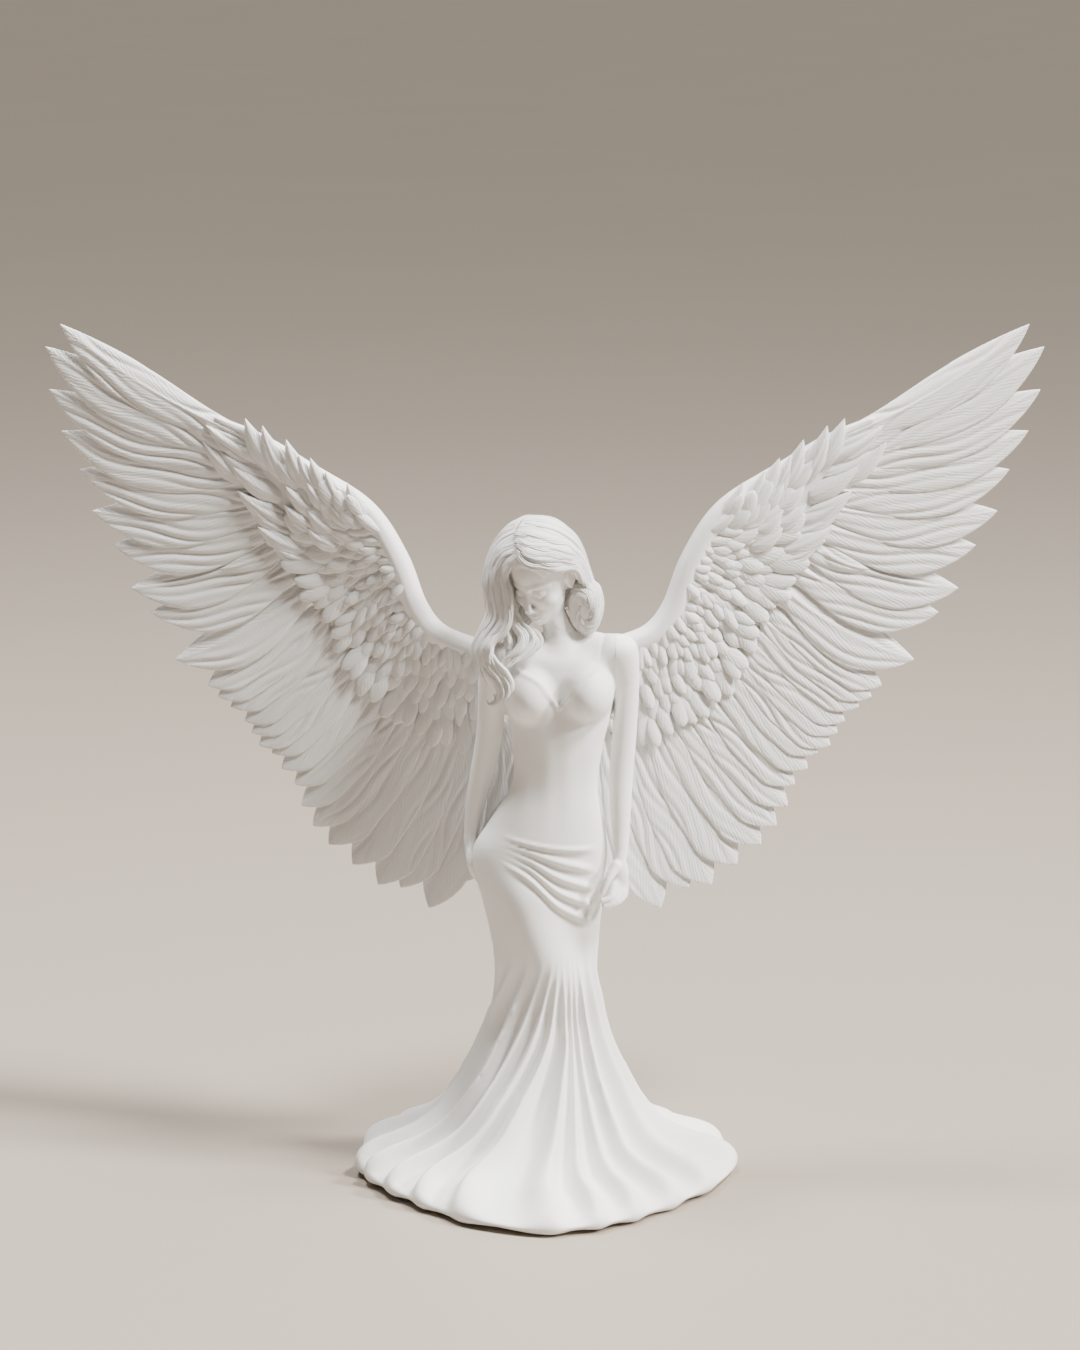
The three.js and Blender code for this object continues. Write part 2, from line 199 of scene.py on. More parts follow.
class Pile:
    # many small closed shapes that go into one mesh
    def __init__(self):
        self.points, self.faces, self.marks, self.count = [], [], [], 0

    def add(self, rings, marks=None):
        ringCount, around = rings.shape[:2]
        self.faces += ringFaces(ringCount, around, self.count)
        self.points.append(rings.reshape(-1, 3))
        self.marks.append(np.zeros((ringCount * around, 3)) if marks is None else marks.reshape(-1, 3))
        self.count += ringCount * around

    def addFaces(self, points, faces):
        self.faces += (np.array(faces) + self.count).tolist()
        self.points.append(points)
        self.marks.append(np.zeros((len(points), 3)))
        self.count += len(points)


def makePiece(name, points, faces, material, replaced, marks=None, flipped=False):
    mesh = bpy.data.meshes.new(name)
    if flipped:
        faces = [face[::-1] for face in faces]
    mesh.from_pydata((np.asarray(points) * millimetre).tolist(), [], faces)
    mesh.polygons.foreach_set("use_smooth", np.ones(len(mesh.polygons), bool))
    if marks is not None:
        layer = mesh.attributes.new("along", "FLOAT_VECTOR", "POINT")
        layer.data.foreach_set("vector", np.asarray(marks, np.float32).ravel())
    mesh.update()
    mesh.materials.append(material)
    piece = bpy.data.objects.new(name, mesh)
    bpy.context.scene.collection.objects.link(piece)
    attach(piece, bodyName)
    if replaced:
        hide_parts(*replaced)
    print(name, len(mesh.polygons), "faces")


# materials

def addNode(tree, kind, inputs=None, **settings):
    node = tree.nodes.new(kind)
    for key, value in settings.items():
        setattr(node, key, value)
    for key, value in (inputs or {}).items():
        if isinstance(value, bpy.types.NodeSocket):
            tree.links.new(value, node.inputs[key])
        else:
            node.inputs[key].default_value = value
    return node


def mathNode(tree, operation, a, b=0.0, c=0.0):
    return addNode(tree, "ShaderNodeMath", {0: a, 1: b, 2: c}, operation=operation).outputs[0]


def objectPlace(tree):
    return addNode(tree, "ShaderNodeTexCoord").outputs["Object"]


def noiseNode(tree, place, scale, detail, roughness=0.5, distortion=0.0):
    return addNode(tree, "ShaderNodeTexNoise", {
        "Vector": place, "Scale": scale, "Detail": detail, "Roughness": roughness, "Distortion": distortion,
    }).outputs["Fac"]


def mixNode(tree, share, first, second, **settings):
    return addNode(tree, "ShaderNodeMix", {
        0: share, 6: first, 7: second}, data_type="RGBA", **settings).outputs[2]


def bumpNode(tree, height, strength, distance):
    return addNode(tree, "ShaderNodeBump", {"Height": height, "Strength": strength, "Distance": distance})


def newGroup(name, inputs, outputs):
    group = bpy.data.node_groups.new(name, "ShaderNodeTree")
    for label, kind, value in inputs:
        socket = group.interface.new_socket(name=label, in_out="INPUT", socket_type="NodeSocket" + kind)
        socket.default_value = value
    for label, kind in outputs:
        group.interface.new_socket(name=label, in_out="OUTPUT", socket_type="NodeSocket" + kind)
    start = group.nodes.new("NodeGroupInput")
    end = group.nodes.new("NodeGroupOutput")
    return group, start.outputs, end.inputs


def newMaterial(name):
    material = bpy.data.materials.new(name)
    material.use_nodes = True
    return material, material.node_tree, material.node_tree.nodes["Principled BSDF"]


def rampNode(tree, value, low, high, lowOut=0.0, highOut=1.0):
    return addNode(tree, "ShaderNodeMapRange", {
        "Value": value, "From Min": low, "From Max": high, "To Min": lowOut, "To Max": highOut,
    }, interpolation_type="SMOOTHSTEP").outputs["Result"]


# where each effect of the stone starts and is complete, and how strong it is
stoneMakeup = {
    "cloudEnds": (0.38, 0.68), "cloudRough": 0.08,
    # painted shade in hollows: its pointiness range and how patchy it is
    "paintedShadeEnds": (0.5, 0.43), "patches": (0.7, 0.55),
    "edgeEnds": (0.51, 0.57), "edgeRough": -0.12,
    "pitScale": 420.0, "pitEnds": (0.0, 0.12), "pitDepth": -0.5,
    "speckEnds": (0.55, 0.75), "speckTone": 0.93,
}


def makeStoneGroup():
    # cast marble dust: cloudy tone, painted shade that darkens the hollows, smoother edges
    group, given, out = newGroup("castStoneSurface", [
        ("Stone", "Color", (0.8, 0.8, 0.8, 1)),
        ("Warm", "Color", (0.8, 0.76, 0.7, 1)),
        ("Painted shade colour", "Color", (0.5, 0.5, 0.5, 1)),
        ("Cloud size", "Float", 40.0),
        ("Cloud amount", "Float", 0.4),
        ("Painted shade amount", "Float", 0.5),
        ("Grain size", "Float", 2500.0),
        ("Rough", "Float", 0.55),
    ], [("Color", "Color"), ("Roughness", "Float"), ("Height", "Float")])
    makeup = stoneMakeup
    place = objectPlace(group)
    cloud = noiseNode(group, place, given["Cloud size"], 4.0, 0.6, 0.6)
    cloudy = rampNode(group, cloud, *makeup["cloudEnds"])
    warmShare = mathNode(group, "MULTIPLY", cloudy, given["Cloud amount"])
    toned = mixNode(group, warmShare, given["Stone"], given["Warm"])
    # painted shade: where the surface curves inwards the colour is pulled, in patches, towards a dark grey,
    # standing in for shade in hollows and creases
    shape = addNode(group, "ShaderNodeNewGeometry").outputs["Pointiness"]
    shadeInHollows = rampNode(group, shape, *makeup["paintedShadeEnds"])
    edge = rampNode(group, shape, *makeup["edgeEnds"])
    patchy = mathNode(group, "MULTIPLY_ADD", cloud, *makeup["patches"])
    paintedShade = mathNode(group, "MULTIPLY", shadeInHollows, patchy)
    paintedShadeShare = mathNode(group, "MULTIPLY", paintedShade, given["Painted shade amount"])
    shaded = mixNode(group, paintedShadeShare, toned, given["Painted shade colour"])
    grain = noiseNode(group, place, given["Grain size"], 3.0, 0.7)
    pits = addNode(group, "ShaderNodeTexVoronoi", {
        "Vector": place, "Scale": makeup["pitScale"]}).outputs["Distance"]
    pitDepth = rampNode(group, pits, *makeup["pitEnds"], makeup["pitDepth"], 0.0)
    speck = rampNode(group, grain, *makeup["speckEnds"], 1.0, makeup["speckTone"])
    speckled = mixNode(group, 1.0, shaded, speck, blend_type="MULTIPLY")
    rougher = mathNode(group, "MULTIPLY_ADD", cloudy, makeup["cloudRough"], given["Rough"])
    polished = mathNode(group, "MULTIPLY_ADD", edge, makeup["edgeRough"], rougher)
    group.links.new(speckled, out["Color"])
    group.links.new(polished, out["Roughness"])
    group.links.new(mathNode(group, "ADD", grain, pitDepth), out["Height"])
    return group


def makeBarbGroup():
    # fine ridges that leave a centre line at a shallow angle, as feather barbs do,
    # or run along it, as hair does
    group, given, out = newGroup("fineRidges", [
        ("Across pitch", "Float", 0.6),
        ("Along pitch", "Float", 1.5),
        ("Waviness", "Float", 0.8),
    ], [("Height", "Float")])
    marks = addNode(group, "ShaderNodeAttribute", attribute_name="along").outputs["Vector"]
    parts = addNode(group, "ShaderNodeSeparateXYZ", {0: marks}).outputs
    wander = noiseNode(group, objectPlace(group), 260.0, 2.0)
    across = mathNode(group, "DIVIDE", mathNode(group, "ABSOLUTE", parts[0]), given["Across pitch"])
    along = mathNode(group, "DIVIDE", parts[1], given["Along pitch"])
    phase = mathNode(group, "SUBTRACT", across, along)
    warped = mathNode(group, "MULTIPLY_ADD", wander, given["Waviness"], phase)
    turned = mathNode(group, "MULTIPLY_ADD", parts[2], 7.3, warped)
    wave = mathNode(group, "SINE", mathNode(group, "MULTIPLY", turned, 2 * math.pi))
    second = mathNode(group, "SINE", mathNode(group, "MULTIPLY", turned, 5.3))
    group.links.new(mathNode(group, "MULTIPLY_ADD", second, 0.5, wave), out["Height"])
    return group


stoneGroup = makeStoneGroup()
barbGroup = makeBarbGroup()

# depths are in metres, as the shader takes them
finishes = {
    # each finish's amount of painted shade in its hollows; the feathers get the most
    "castStone": {"ridges": None, "shadeInHollows": 0.35, "grainDepth": 0.00004, "subsurface": 0.12},
    "featherStone": {"shade": 0.87, "ridges": (1.1, 3.4, 1.8, 0.00005), "shadeInHollows": 0.95,
                     "grainDepth": 0.00004, "subsurface": 0.1},
    "hairStone": {"ridges": (0.6, 60.0, 0.8, 0.00014), "shadeInHollows": 0.7, "grainDepth": 0.00003,
                  "subsurface": 0.1},
}
stoneTones = {
    # the dark grey here is the colour of the painted shade in hollows
    "Stone": (0.89, 0.885, 0.872, 1), "Warm": (0.87, 0.845, 0.805, 1), "Painted shade colour": (0.50, 0.485, 0.465, 1),
    "Cloud size": 38.0, "Cloud amount": 0.45, "Grain size": 2600.0, "Rough": 0.56,
}
scattering = {"Subsurface Radius": (1.0, 0.85, 0.7), "Subsurface Scale": 0.0012, "Specular IOR Level": 0.4}


def makeStone(name):
    look = finishes[name]
    material, tree, surface = newMaterial(name)
    stone = addNode(tree, "ShaderNodeGroup", node_tree=stoneGroup)
    for key, value in stoneTones.items():
        stone.inputs[key].default_value = value
    for key in ("Stone", "Warm"):
        toned = [part * look.get("shade", 1) for part in stoneTones[key][:3]]
        stone.inputs[key].default_value = (*toned, 1)
    stone.inputs["Painted shade amount"].default_value = look["shadeInHollows"]
    tree.links.new(stone.outputs["Color"], surface.inputs["Base Color"])
    tree.links.new(stone.outputs["Roughness"], surface.inputs["Roughness"])
    relief = bumpNode(tree, stone.outputs["Height"], 0.6, look["grainDepth"])
    if look["ridges"]:
        across, along, waviness, depth = look["ridges"]
        ridges = addNode(tree, "ShaderNodeGroup", node_tree=barbGroup)
        ridges.inputs["Across pitch"].default_value = across
        ridges.inputs["Along pitch"].default_value = along
        ridges.inputs["Waviness"].default_value = waviness
        carved = bumpNode(tree, ridges.outputs["Height"], 0.5, depth)
        tree.links.new(carved.outputs["Normal"], relief.inputs["Normal"])
    tree.links.new(relief.outputs["Normal"], surface.inputs["Normal"])
    surface.inputs["Subsurface Weight"].default_value = look["subsurface"]
    for key, value in scattering.items():
        surface.inputs[key].default_value = value
    return material


felt = {"color": (0.16, 0.13, 0.105, 1), "pale": (0.25, 0.21, 0.17, 1), "fibre": 1500.0, "mat": 120.0}


def makeFelt():
    # pressed wool: matted fibres, uneven dye, a little pilling
    material, tree, surface = newMaterial("feltPad")
    place = objectPlace(tree)
    fibre = noiseNode(tree, place, felt["fibre"], 5.0, distortion=1.6)
    matted = noiseNode(tree, place, felt["mat"], 3.0)
    mixed = mathNode(tree, "MULTIPLY_ADD", fibre, 0.6, mathNode(tree, "MULTIPLY", matted, 0.4))
    tone = mixNode(tree, rampNode(tree, mixed, 0.35, 0.65), felt["color"], felt["pale"])
    tree.links.new(tone, surface.inputs["Base Color"])
    tree.links.new(rampNode(tree, matted, 0.3, 0.7, 0.88, 0.98), surface.inputs["Roughness"])
    tree.links.new(bumpNode(tree, fibre, 0.7, 0.0003).outputs["Normal"], surface.inputs["Normal"])
    surface.inputs["Sheen Weight"].default_value = 0.4
    return material


wire = {"color": (0.46, 0.45, 0.43, 1), "dull": (0.3, 0.285, 0.27, 1), "lines": 900.0}


def makePinSteel():
    # drawn wire: fine lines along the pin and a dull grey skin
    material, tree, surface = newMaterial("pinSteel")
    place = objectPlace(tree)
    stretched = addNode(tree, "ShaderNodeMapping", {"Vector": place, "Scale": (1.0, 1.0, 0.05)}).outputs[0]
    drawn = noiseNode(tree, stretched, wire["lines"], 3.0)
    skin = noiseNode(tree, place, 220.0, 4.0)
    tone = mixNode(tree, rampNode(tree, skin, 0.4, 0.65), wire["color"], wire["dull"])
    tree.links.new(tone, surface.inputs["Base Color"])
    tree.links.new(rampNode(tree, skin, 0.3, 0.7, 0.3, 0.5), surface.inputs["Roughness"])
    tree.links.new(bumpNode(tree, drawn, 0.4, 0.00004).outputs["Normal"], surface.inputs["Normal"])
    surface.inputs["Metallic"].default_value = 1.0
    return material


def refinish(node, material):
    # a better finish on a piece that keeps its own shape
    for holder in bpy.data.objects[node].material_slots:
        holder.material = material


refinish("felt_pad", makeFelt())
pinSteel = makePinSteel()
for node in ("neck_pin", "right_arm_pin", "left_arm_pin", "right_wing_pin", "left_wing_pin"):
    refinish(node, pinSteel)

castStone = makeStone("castStone")
featherStone = makeStone("featherStone")
hairStone = makeStone("hairStone")
print("materials ready")


# wings

wing = {
    "rootDepth": 17.0,  # how far the wing's middle surface lies behind her at the root
    "sweep": 0.15,
    "cup": 0.001,
    # laid out in the front plane for the -X wing, from the wing tip inwards
    "leadingEdge": [(-118, 266), (-98, 259), (-80, 249), (-66, 240.5), (-55, 230), (-48, 215.5),
                    (-43, 201), (-35, 191.5), (-22, 187)],
    "covertEdge": [(-121, 255.5), (-108, 238), (-100, 226), (-91, 210), (-80, 194), (-72, 178),
                   (-60, 162), (-44, 152.5), (-24, 146)],
    "primaryRoots": [(-102, 256.5), (-97, 244), (-92, 228), (-82, 206)],
    "primaryTips": [(-169.5, 295.5), (-175, 287.5), (-174, 272.5), (-170, 258), (-163.5, 244.5),
                    (-159.5, 230), (-152, 218), (-146, 203), (-139, 194.5), (-130.5, 178)],
    "secondaryRoots": [(-78, 198), (-71, 187), (-64, 176), (-50, 166), (-36, 160), (-22, 158),
                       (-12, 160)],
    "secondaryTips": [(-119, 169), (-115.5, 165), (-111, 161.5), (-106, 156.5), (-103.5, 152.5),
                      (-101, 148), (-96.5, 145.5), (-93, 140), (-88.5, 134.5), (-86, 127), (-82, 120),
                      (-76.5, 113.5), (-68, 106.5), (-59, 99.5), (-51, 98.5), (-41, 91.5), (-28, 101),
                      (-20, 108), (-13, 118)],
}
# lead is the share of the width ahead of the shaft; along, front and back count the mesh points
flightLooks = {
    "primary": {
        "width": 17.5, "lead": 0.4, "along": 84, "front": 36, "back": 14, "crown": 1.5, "backCrown": 0.8,
        "bow": -3.4, "rise": 1.5, "tipStart": 0.62, "tipPower": 1.6, "tipEnd": 0.9, "baseWidth": 0.42,
        "flutes": 3.7, "fluteSlope": 0.035, "fluteDepth": 0.8, "fluteWander": 0.6, "shaft": 0.3, "seed": 100},
    "secondary": {
        "width": 13.2, "lead": 0.42, "along": 66, "front": 28, "back": 12, "crown": 1.25, "backCrown": 0.7,
        "bow": -1.2, "rise": 1.25, "tipStart": 0.8, "tipPower": 1.6, "tipEnd": 0.85, "baseWidth": 0.5,
        "flutes": 3.5, "fluteSlope": 0.03, "fluteDepth": 0.62, "fluteWander": 0.9, "shaft": 0.15,
        "seed": 150},
}


def wingDepth(x, z):
    chord = np.maximum(0, 0.6 * (np.abs(x) - 45) - 0.8 * (z - 205))
    return wing["rootDepth"] + wing["sweep"] * np.abs(x) - wing["cup"] * chord * chord


def wingPatch(u, v):
    upper = curveThrough(wing["leadingEdge"], u)
    lower = curveThrough(wing["covertEdge"], u)
    return upper + (lower - upper) * np.reshape(v, (-1, 1))


def addBlade(pile, root, tip, width, look, seed, liftAt, facing=1):
    # one feather: a thin crowned blade with a shaft ridge and slanting grooves
    rng = np.random.default_rng(seed)
    root, tip = np.array(root, float), np.array(tip, float)
    length = np.linalg.norm(tip - root)
    forward = (tip - root) / length
    side = np.array([forward[1], -forward[0]])  # towards the leading edge
    steps = np.linspace(0, 1, look["along"])
    t = 1 - (1 - steps) ** 1.25
    sway = look["bow"] * 4 * t * (1 - t)
    slope = np.gradient(sway, t * length)
    body = look["baseWidth"] + (1 - look["baseWidth"]) * smoothStep(0, 0.55, t)
    end = np.clip((t - look["tipStart"]) / (1 - look["tipStart"]), 0, 1)
    rootEnd = np.minimum(1, 0.02 + t / 0.07) ** 0.5
    half = width * body * rootEnd * np.maximum(1 - end ** look["tipPower"], 0) ** look["tipEnd"] + 0.04
    # s runs over the front from the leading edge (1) to the trailing edge (-1), then back behind
    evenTurn = np.linspace(0, math.pi, look["front"] + 1)
    sFront = np.cos(evenTurn) * 0.35 + np.linspace(1, -1, look["front"] + 1) * 0.65
    sBack = -np.cos(np.linspace(0, math.pi, look["back"] + 1))[1:-1]
    s = np.concatenate([sFront, sBack])[None, :]
    isFront = np.concatenate([np.ones(len(sFront)), np.zeros(len(sBack))])[None, :] > 0.5
    share = np.where(s > 0, look["lead"], 1 - look["lead"])
    offset = s * share * half[:, None]
    along = (t * length)[:, None]
    sideways = (sway[:, None] + offset)
    x = root[0] + forward[0] * along + side[0] * sideways - forward[0] * slope[:, None] * offset
    z = root[1] + forward[1] * along + side[1] * sideways - forward[1] * slope[:, None] * offset
    arch = np.maximum(1 - s * s, 0) ** 0.5
    thin = ((1 - 0.75 * t**5) * rootEnd)[:, None]
    slow = np.sin(along * 0.055 + rng.uniform(0, 6))
    quick = np.sin(along * 0.17 + rng.uniform(0, 6))
    wander = look["fluteWander"] * (slow + 0.4 * quick)
    phase = (np.abs(offset) + look["fluteSlope"] * along) / look["flutes"] + wander + rng.uniform(0, 1)
    groove = (0.5 + 0.5 * np.cos(2 * math.pi * phase)) ** 2
    strength = 0.6 + 0.4 * np.sin(phase * 1.7 + along * 0.04 + rng.uniform(0, 6))
    fade = np.minimum(1, np.abs(offset) / 1.2) * (1 - np.abs(s) ** 8) * (1 - t[:, None] ** 6)
    grooveDepth = look["fluteDepth"] * groove * strength * fade
    shaft = look["shaft"] * np.exp(-(offset / 0.6) ** 2) * (1 - t[:, None]) ** 0.4
    frontHeight = look["crown"] * arch * thin + shaft - grooveDepth
    backHeight = -(look["backCrown"] * arch * thin + 0.6 * shaft - 0.5 * grooveDepth)
    height = np.where(isFront, frontHeight, backHeight)
    tilt = look["rise"] * offset / (width / 2)
    y = wingDepth(x, z) - facing * (liftAt(t[:, None]) + height - tilt)
    rings = np.stack([x, y, z], -1)
    marks = np.stack([offset, along + 0 * offset, np.full_like(offset, rng.uniform(0, 1))], -1)
    if facing > 0:
        rings, marks = rings[:, ::-1], marks[:, ::-1]
    pile.add(rings, marks)


def flightFeathers(pile, kind):
    look = flightLooks[kind]
    tips = wing[kind + "Tips"]
    roots = curveThrough(wing[kind + "Roots"], np.linspace(0, 1, len(tips)))
    for i, tip in enumerate(tips):
        width = look["width"] * (0.8 if kind == "primary" and i == 0 else 1)
        if kind == "secondary":
            width *= 0.85 + 0.35 * smoothStep(8, 13, i)
        addBlade(pile, roots[i], tip, width, look, look["seed"] + i, lambda t: 0 * t)


covertLooks = [
    # pointed, near the wing tip, and rounded, near the body
    {"lead": 0.5, "along": 22, "front": 14, "back": 4, "crown": 1.5, "backCrown": 0.3, "bow": -1.0,
     "rise": 0.5, "tipStart": 0.35, "tipPower": 1.7, "tipEnd": 0.9, "baseWidth": 0.6,
     "flutes": 2.6, "fluteSlope": 0.05, "fluteDepth": 0.35, "fluteWander": 0.5, "shaft": 0.2},
    {"lead": 0.48, "along": 14, "front": 10, "back": 4, "crown": 1.5, "backCrown": 0.3, "bow": -0.5,
     "rise": 0.6, "tipStart": 0.5, "tipPower": 2.0, "tipEnd": 0.55, "baseWidth": 0.7,
     "flutes": 1.9, "fluteSlope": 0.1, "fluteDepth": 0.22, "fluteWander": 0.6, "shaft": 0.08},
]
leafLook = {**covertLooks[0], "along": 30, "front": 18, "crown": 1.7, "tipStart": 0.3, "tipPower": 1.5,
            "tipEnd": 0.95, "baseWidth": 0.7, "fluteDepth": 0.5, "flutes": 2.4, "bow": -1.4}
# each row: how far its tips lie from the lower edge of the coverts, spacing, length
frontRows = [(0, 5.4, 17), (7, 4.8, 14.5), (13, 4.3, 13), (18.5, 3.9, 12), (23.5, 3.6, 11), (28, 3.3, 10.5),
             (32.2, 3.1, 10), (36, 3.0, 9.5), (39.5, 2.9, 9)]
rearRows = [(1, 8.5, 18), (10, 7.5, 15), (18, 6.5, 13), (25, 5.5, 11), (31, 5, 9.5)]
# which way the coverts point along the wing, in degrees above straight out:
# at their lower edge, then at the bare edge
lowerTurn = [(0, 50), (0.12, 44), (0.24, 20), (0.34, -8), (0.45, -30), (0.6, -52), (0.75, -70), (0.9, -88),
             (1, -92)]
upperTurn = [(0, 55), (0.12, 58), (0.25, 60), (0.34, 52), (0.44, 5), (0.6, -32), (0.75, -62), (0.9, -86),
             (1, -92)]
# the long leaf-shaped coverts of the outer wing: tip, root, width, how far they stand forward
outerLeaves = [
    ((-119.6, 255.4), (-102, 240), 8.6, 0.9), ((-118.4, 261.2), (-98, 249.4), 8.8, 1.3),
    ((-114.2, 210.4), (-95, 219), 8.6, 0.8), ((-113.5, 252), (-96, 243), 7.6, 1.1),
    ((-110, 247.8), (-91, 235.8), 8.4, 1.7), ((-107.6, 238.6), (-88.5, 227), 8.8, 1.9),
    ((-103.5, 231.6), (-86, 223.5), 7.2, 1.6), ((-100.6, 226), (-82, 217.5), 8.8, 2.3),
    ((-96, 220), (-80, 214), 7.4, 2.1), ((-104.4, 264), (-94, 246.5), 8.6, 2.1),
    ((-98.3, 261.6), (-89, 242), 8.6, 2.4), ((-94.4, 251.5), (-82, 238), 7.4, 2.3),
    ((-90, 257), (-80.5, 238.5), 8.4, 2.8), ((-85.6, 251.6), (-76.5, 236), 7.6, 3),
    ((-81.6, 250.8), (-71.5, 234.5), 8, 3.3), ((-90.6, 240.8), (-78, 231.5), 7.4, 3),
    ((-91.2, 234.2), (-78, 226), 7.4, 2.9), ((-83.4, 243), (-72.5, 232), 7, 3.5),
    ((-76.4, 246.4), (-66.5, 231), 7.2, 3.7), ((-83, 232.6), (-71.5, 224.5), 6.8, 3.5),
    ((-83.2, 226.4), (-71, 219.5), 6.8, 3.4), ((-75.5, 236.5), (-65.5, 227), 6.4, 4),
    ((-68.8, 242.6), (-60, 228.5), 6.8, 4.1),
]


# the plate that the coverts grow from: its share of each chord, rounding of its edge and mesh points
bed = {
    "top": 0.04, "reach": 0.88, "edge": 0.05, "across": 26, "along": 90,
    # rise at the leading edge, how fast it falls, rise at the lower edge: front 1, back -1
    "rise": {1: (4.4, 1.2, 0.3), -1: (3.2, 1.3, 0.1)},
}


def bedLift(u, v, facing):
    # how far the ground under the coverts stands off the wing's middle surface
    full, power, thin = bed["rise"][facing]
    return (thin + full * np.maximum(1 - v, 0) ** power) * (0.4 + 0.6 * smoothStep(0.05, 0.42, u))


def covertBed(pile, facing):
    down = bed["top"] + bed["reach"] * 0.5 * (1 - np.cos(np.linspace(0, math.pi, bed["across"])))
    fromEdge = np.minimum(down - bed["top"], bed["top"] + bed["reach"] - down)
    edge = np.clip(fromEdge / bed["edge"], 0, 1) ** 0.5
    rings = []
    for u in np.linspace(0.02, 0.995, bed["along"]):
        plan = wingPatch(np.full(len(down), u), down)
        middle = wingDepth(plan[:, 0], plan[:, 1])
        raised = middle - facing * (bedLift(u, down, facing) * (0.15 + 0.85 * edge))
        outer = np.stack([plan[:, 0], raised, plan[:, 1]], 1)
        inner = np.stack([plan[:, 0], middle + facing * 0.3, plan[:, 1]], 1)[1:-1]
        rings.append(np.vstack([outer, inner[::-1]]))
    rings = np.array(rings)
    pile.add(rings if facing > 0 else rings[:, ::-1])


def behindEdge(point):
    # how far a point of the plan lies inside the leading edge
    fine = np.linspace(0, 1, 200)
    edge = wingPatch(fine, 0.0)
    nearest = np.argmin(np.linalg.norm(edge - point, axis=1))
    inward = unit(wingPatch(fine[nearest:nearest + 1], 1.0)[0] - edge[nearest])
    return float((point - edge[nearest]) @ inward)


covertPlan = {
    "grow": 0.8, "growEnds": (0.12, 0.55),  # the coverts are larger towards the wing tip
    "bareBand": 6.5, "bareEnds": (0.34, 0.46),  # the leading edge is bare near the body
    "leafEnd": 0.25,  # on the front, the long leaves stand outwards of this place
    "roundEnds": (0.2, 0.36), "scatter": 15, "edgeGap": 1.5, "leastGap": 0.8, "lastLift": 1.1,
}


def covertRows(pile, rows, facing, seed):
    rng = np.random.default_rng(seed)
    fine = np.linspace(0, 1, 300)
    chords = np.linalg.norm(wingPatch(fine, 1.0) - wingPatch(fine, 0.0), axis=1)
    for number, (back, step, length) in enumerate(rows):
        grow = 1 + covertPlan["grow"] * (1 - smoothStep(*covertPlan["growEnds"], fine))
        downs = 1 - back * grow / chords
        line = wingPatch(fine, downs)
        run = np.concatenate([[0], np.cumsum(np.linalg.norm(np.diff(line, axis=0), axis=1))])
        place = step * rng.uniform(0.1, 0.9)
        while place < run[-1]:
            u = float(np.interp(place, run, fine))
            size = float(np.interp(u, fine, grow))
            down = float(np.interp(u, fine, downs))
            chord = float(np.interp(u, fine, chords))
            place += step * size * rng.uniform(0.86, 1.14)
            inner = float(smoothStep(*covertPlan["bareEnds"], u))
            bare = (covertPlan["bareBand"] * (facing > 0) + 0.5 * length) * inner
            if down * chord < bare or down < 0.06 or (facing > 0 and u < covertPlan["leafEnd"]):
                continue
            upper, lower = profile(upperTurn, u), profile(lowerTurn, u)
            turn = upper + (lower - upper) * smoothStep(0.1, 0.8, down)
            turn = math.radians(float(turn) + rng.uniform(-covertPlan["scatter"], covertPlan["scatter"]))
            direction = np.array([-math.cos(turn), math.sin(turn)])
            tip = wingPatch(u, down)[0] + direction * rng.uniform(-1.7, 1.9)
            reach = length * size ** 0.8 * rng.uniform(0.86, 1.14)
            rounded = float(smoothStep(*covertPlan["roundEnds"], u + 0.06 * number))
            look = {key: covertLooks[0][key] + (covertLooks[1][key] - covertLooks[0][key]) * rounded
                    for key in covertLooks[0]}
            for key in ("along", "front", "back"):
                look[key] = int(round(look[key]))
            low = float(bedLift(u, down, facing))
            tipLift = rng.uniform(1.1, 2.5) + (covertPlan["lastLift"] if number == 0 else 0)
            width = step * size * rng.uniform(1.05, 1.4)
            blade = int(rng.integers(1 << 30))
            root = tip - direction * reach
            if behindEdge(root) < covertPlan["edgeGap"]:
                root = tip - direction * max(0.45 * reach, reach - covertPlan["edgeGap"] + behindEdge(root))
            if behindEdge(root) < covertPlan["leastGap"]:
                continue
            addBlade(pile, root, tip, width, look, blade,
                     lambda t: low - 0.4 + tipLift * t - 0.4 * t**3 - 1.1 * (1 - t) ** 6, facing)


def leafFeathers(pile):
    # the pointed coverts of the outer wing, some of which stand past the leading edge
    for i, (tip, root, width, forward) in enumerate(outerLeaves):
        addBlade(pile, root, tip, width, leafLook, 900 + i,
                 lambda t: forward - 0.7 + 1.5 * t - 0.5 * t**3 - 1.4 * (1 - t) ** 6)


# the bare wing arm: places in the covert patch from the body to the tip, its start in the back on each
# side, and its radius along the whole
sparPath = [(0.99, 0.1), (0.86, 0.1), (0.74, 0.1), (0.6, 0.1), (0.45, 0.1), (0.3, 0.11), (0.15, 0.12),
            (0.02, 0.12)]
sparRoots = {-1: [(-2.5, 3.6, 176.5), (-9, 11, 179.5)], 1: [(11, 3.6, 176.5), (14, 11, 179.5)]}
sparRadius = [(0, 2.9), (0.1, 3.9), (0.3, 4.5), (0.5, 4.4), (0.64, 3.5), (0.8, 1.7), (1, 0.8)]


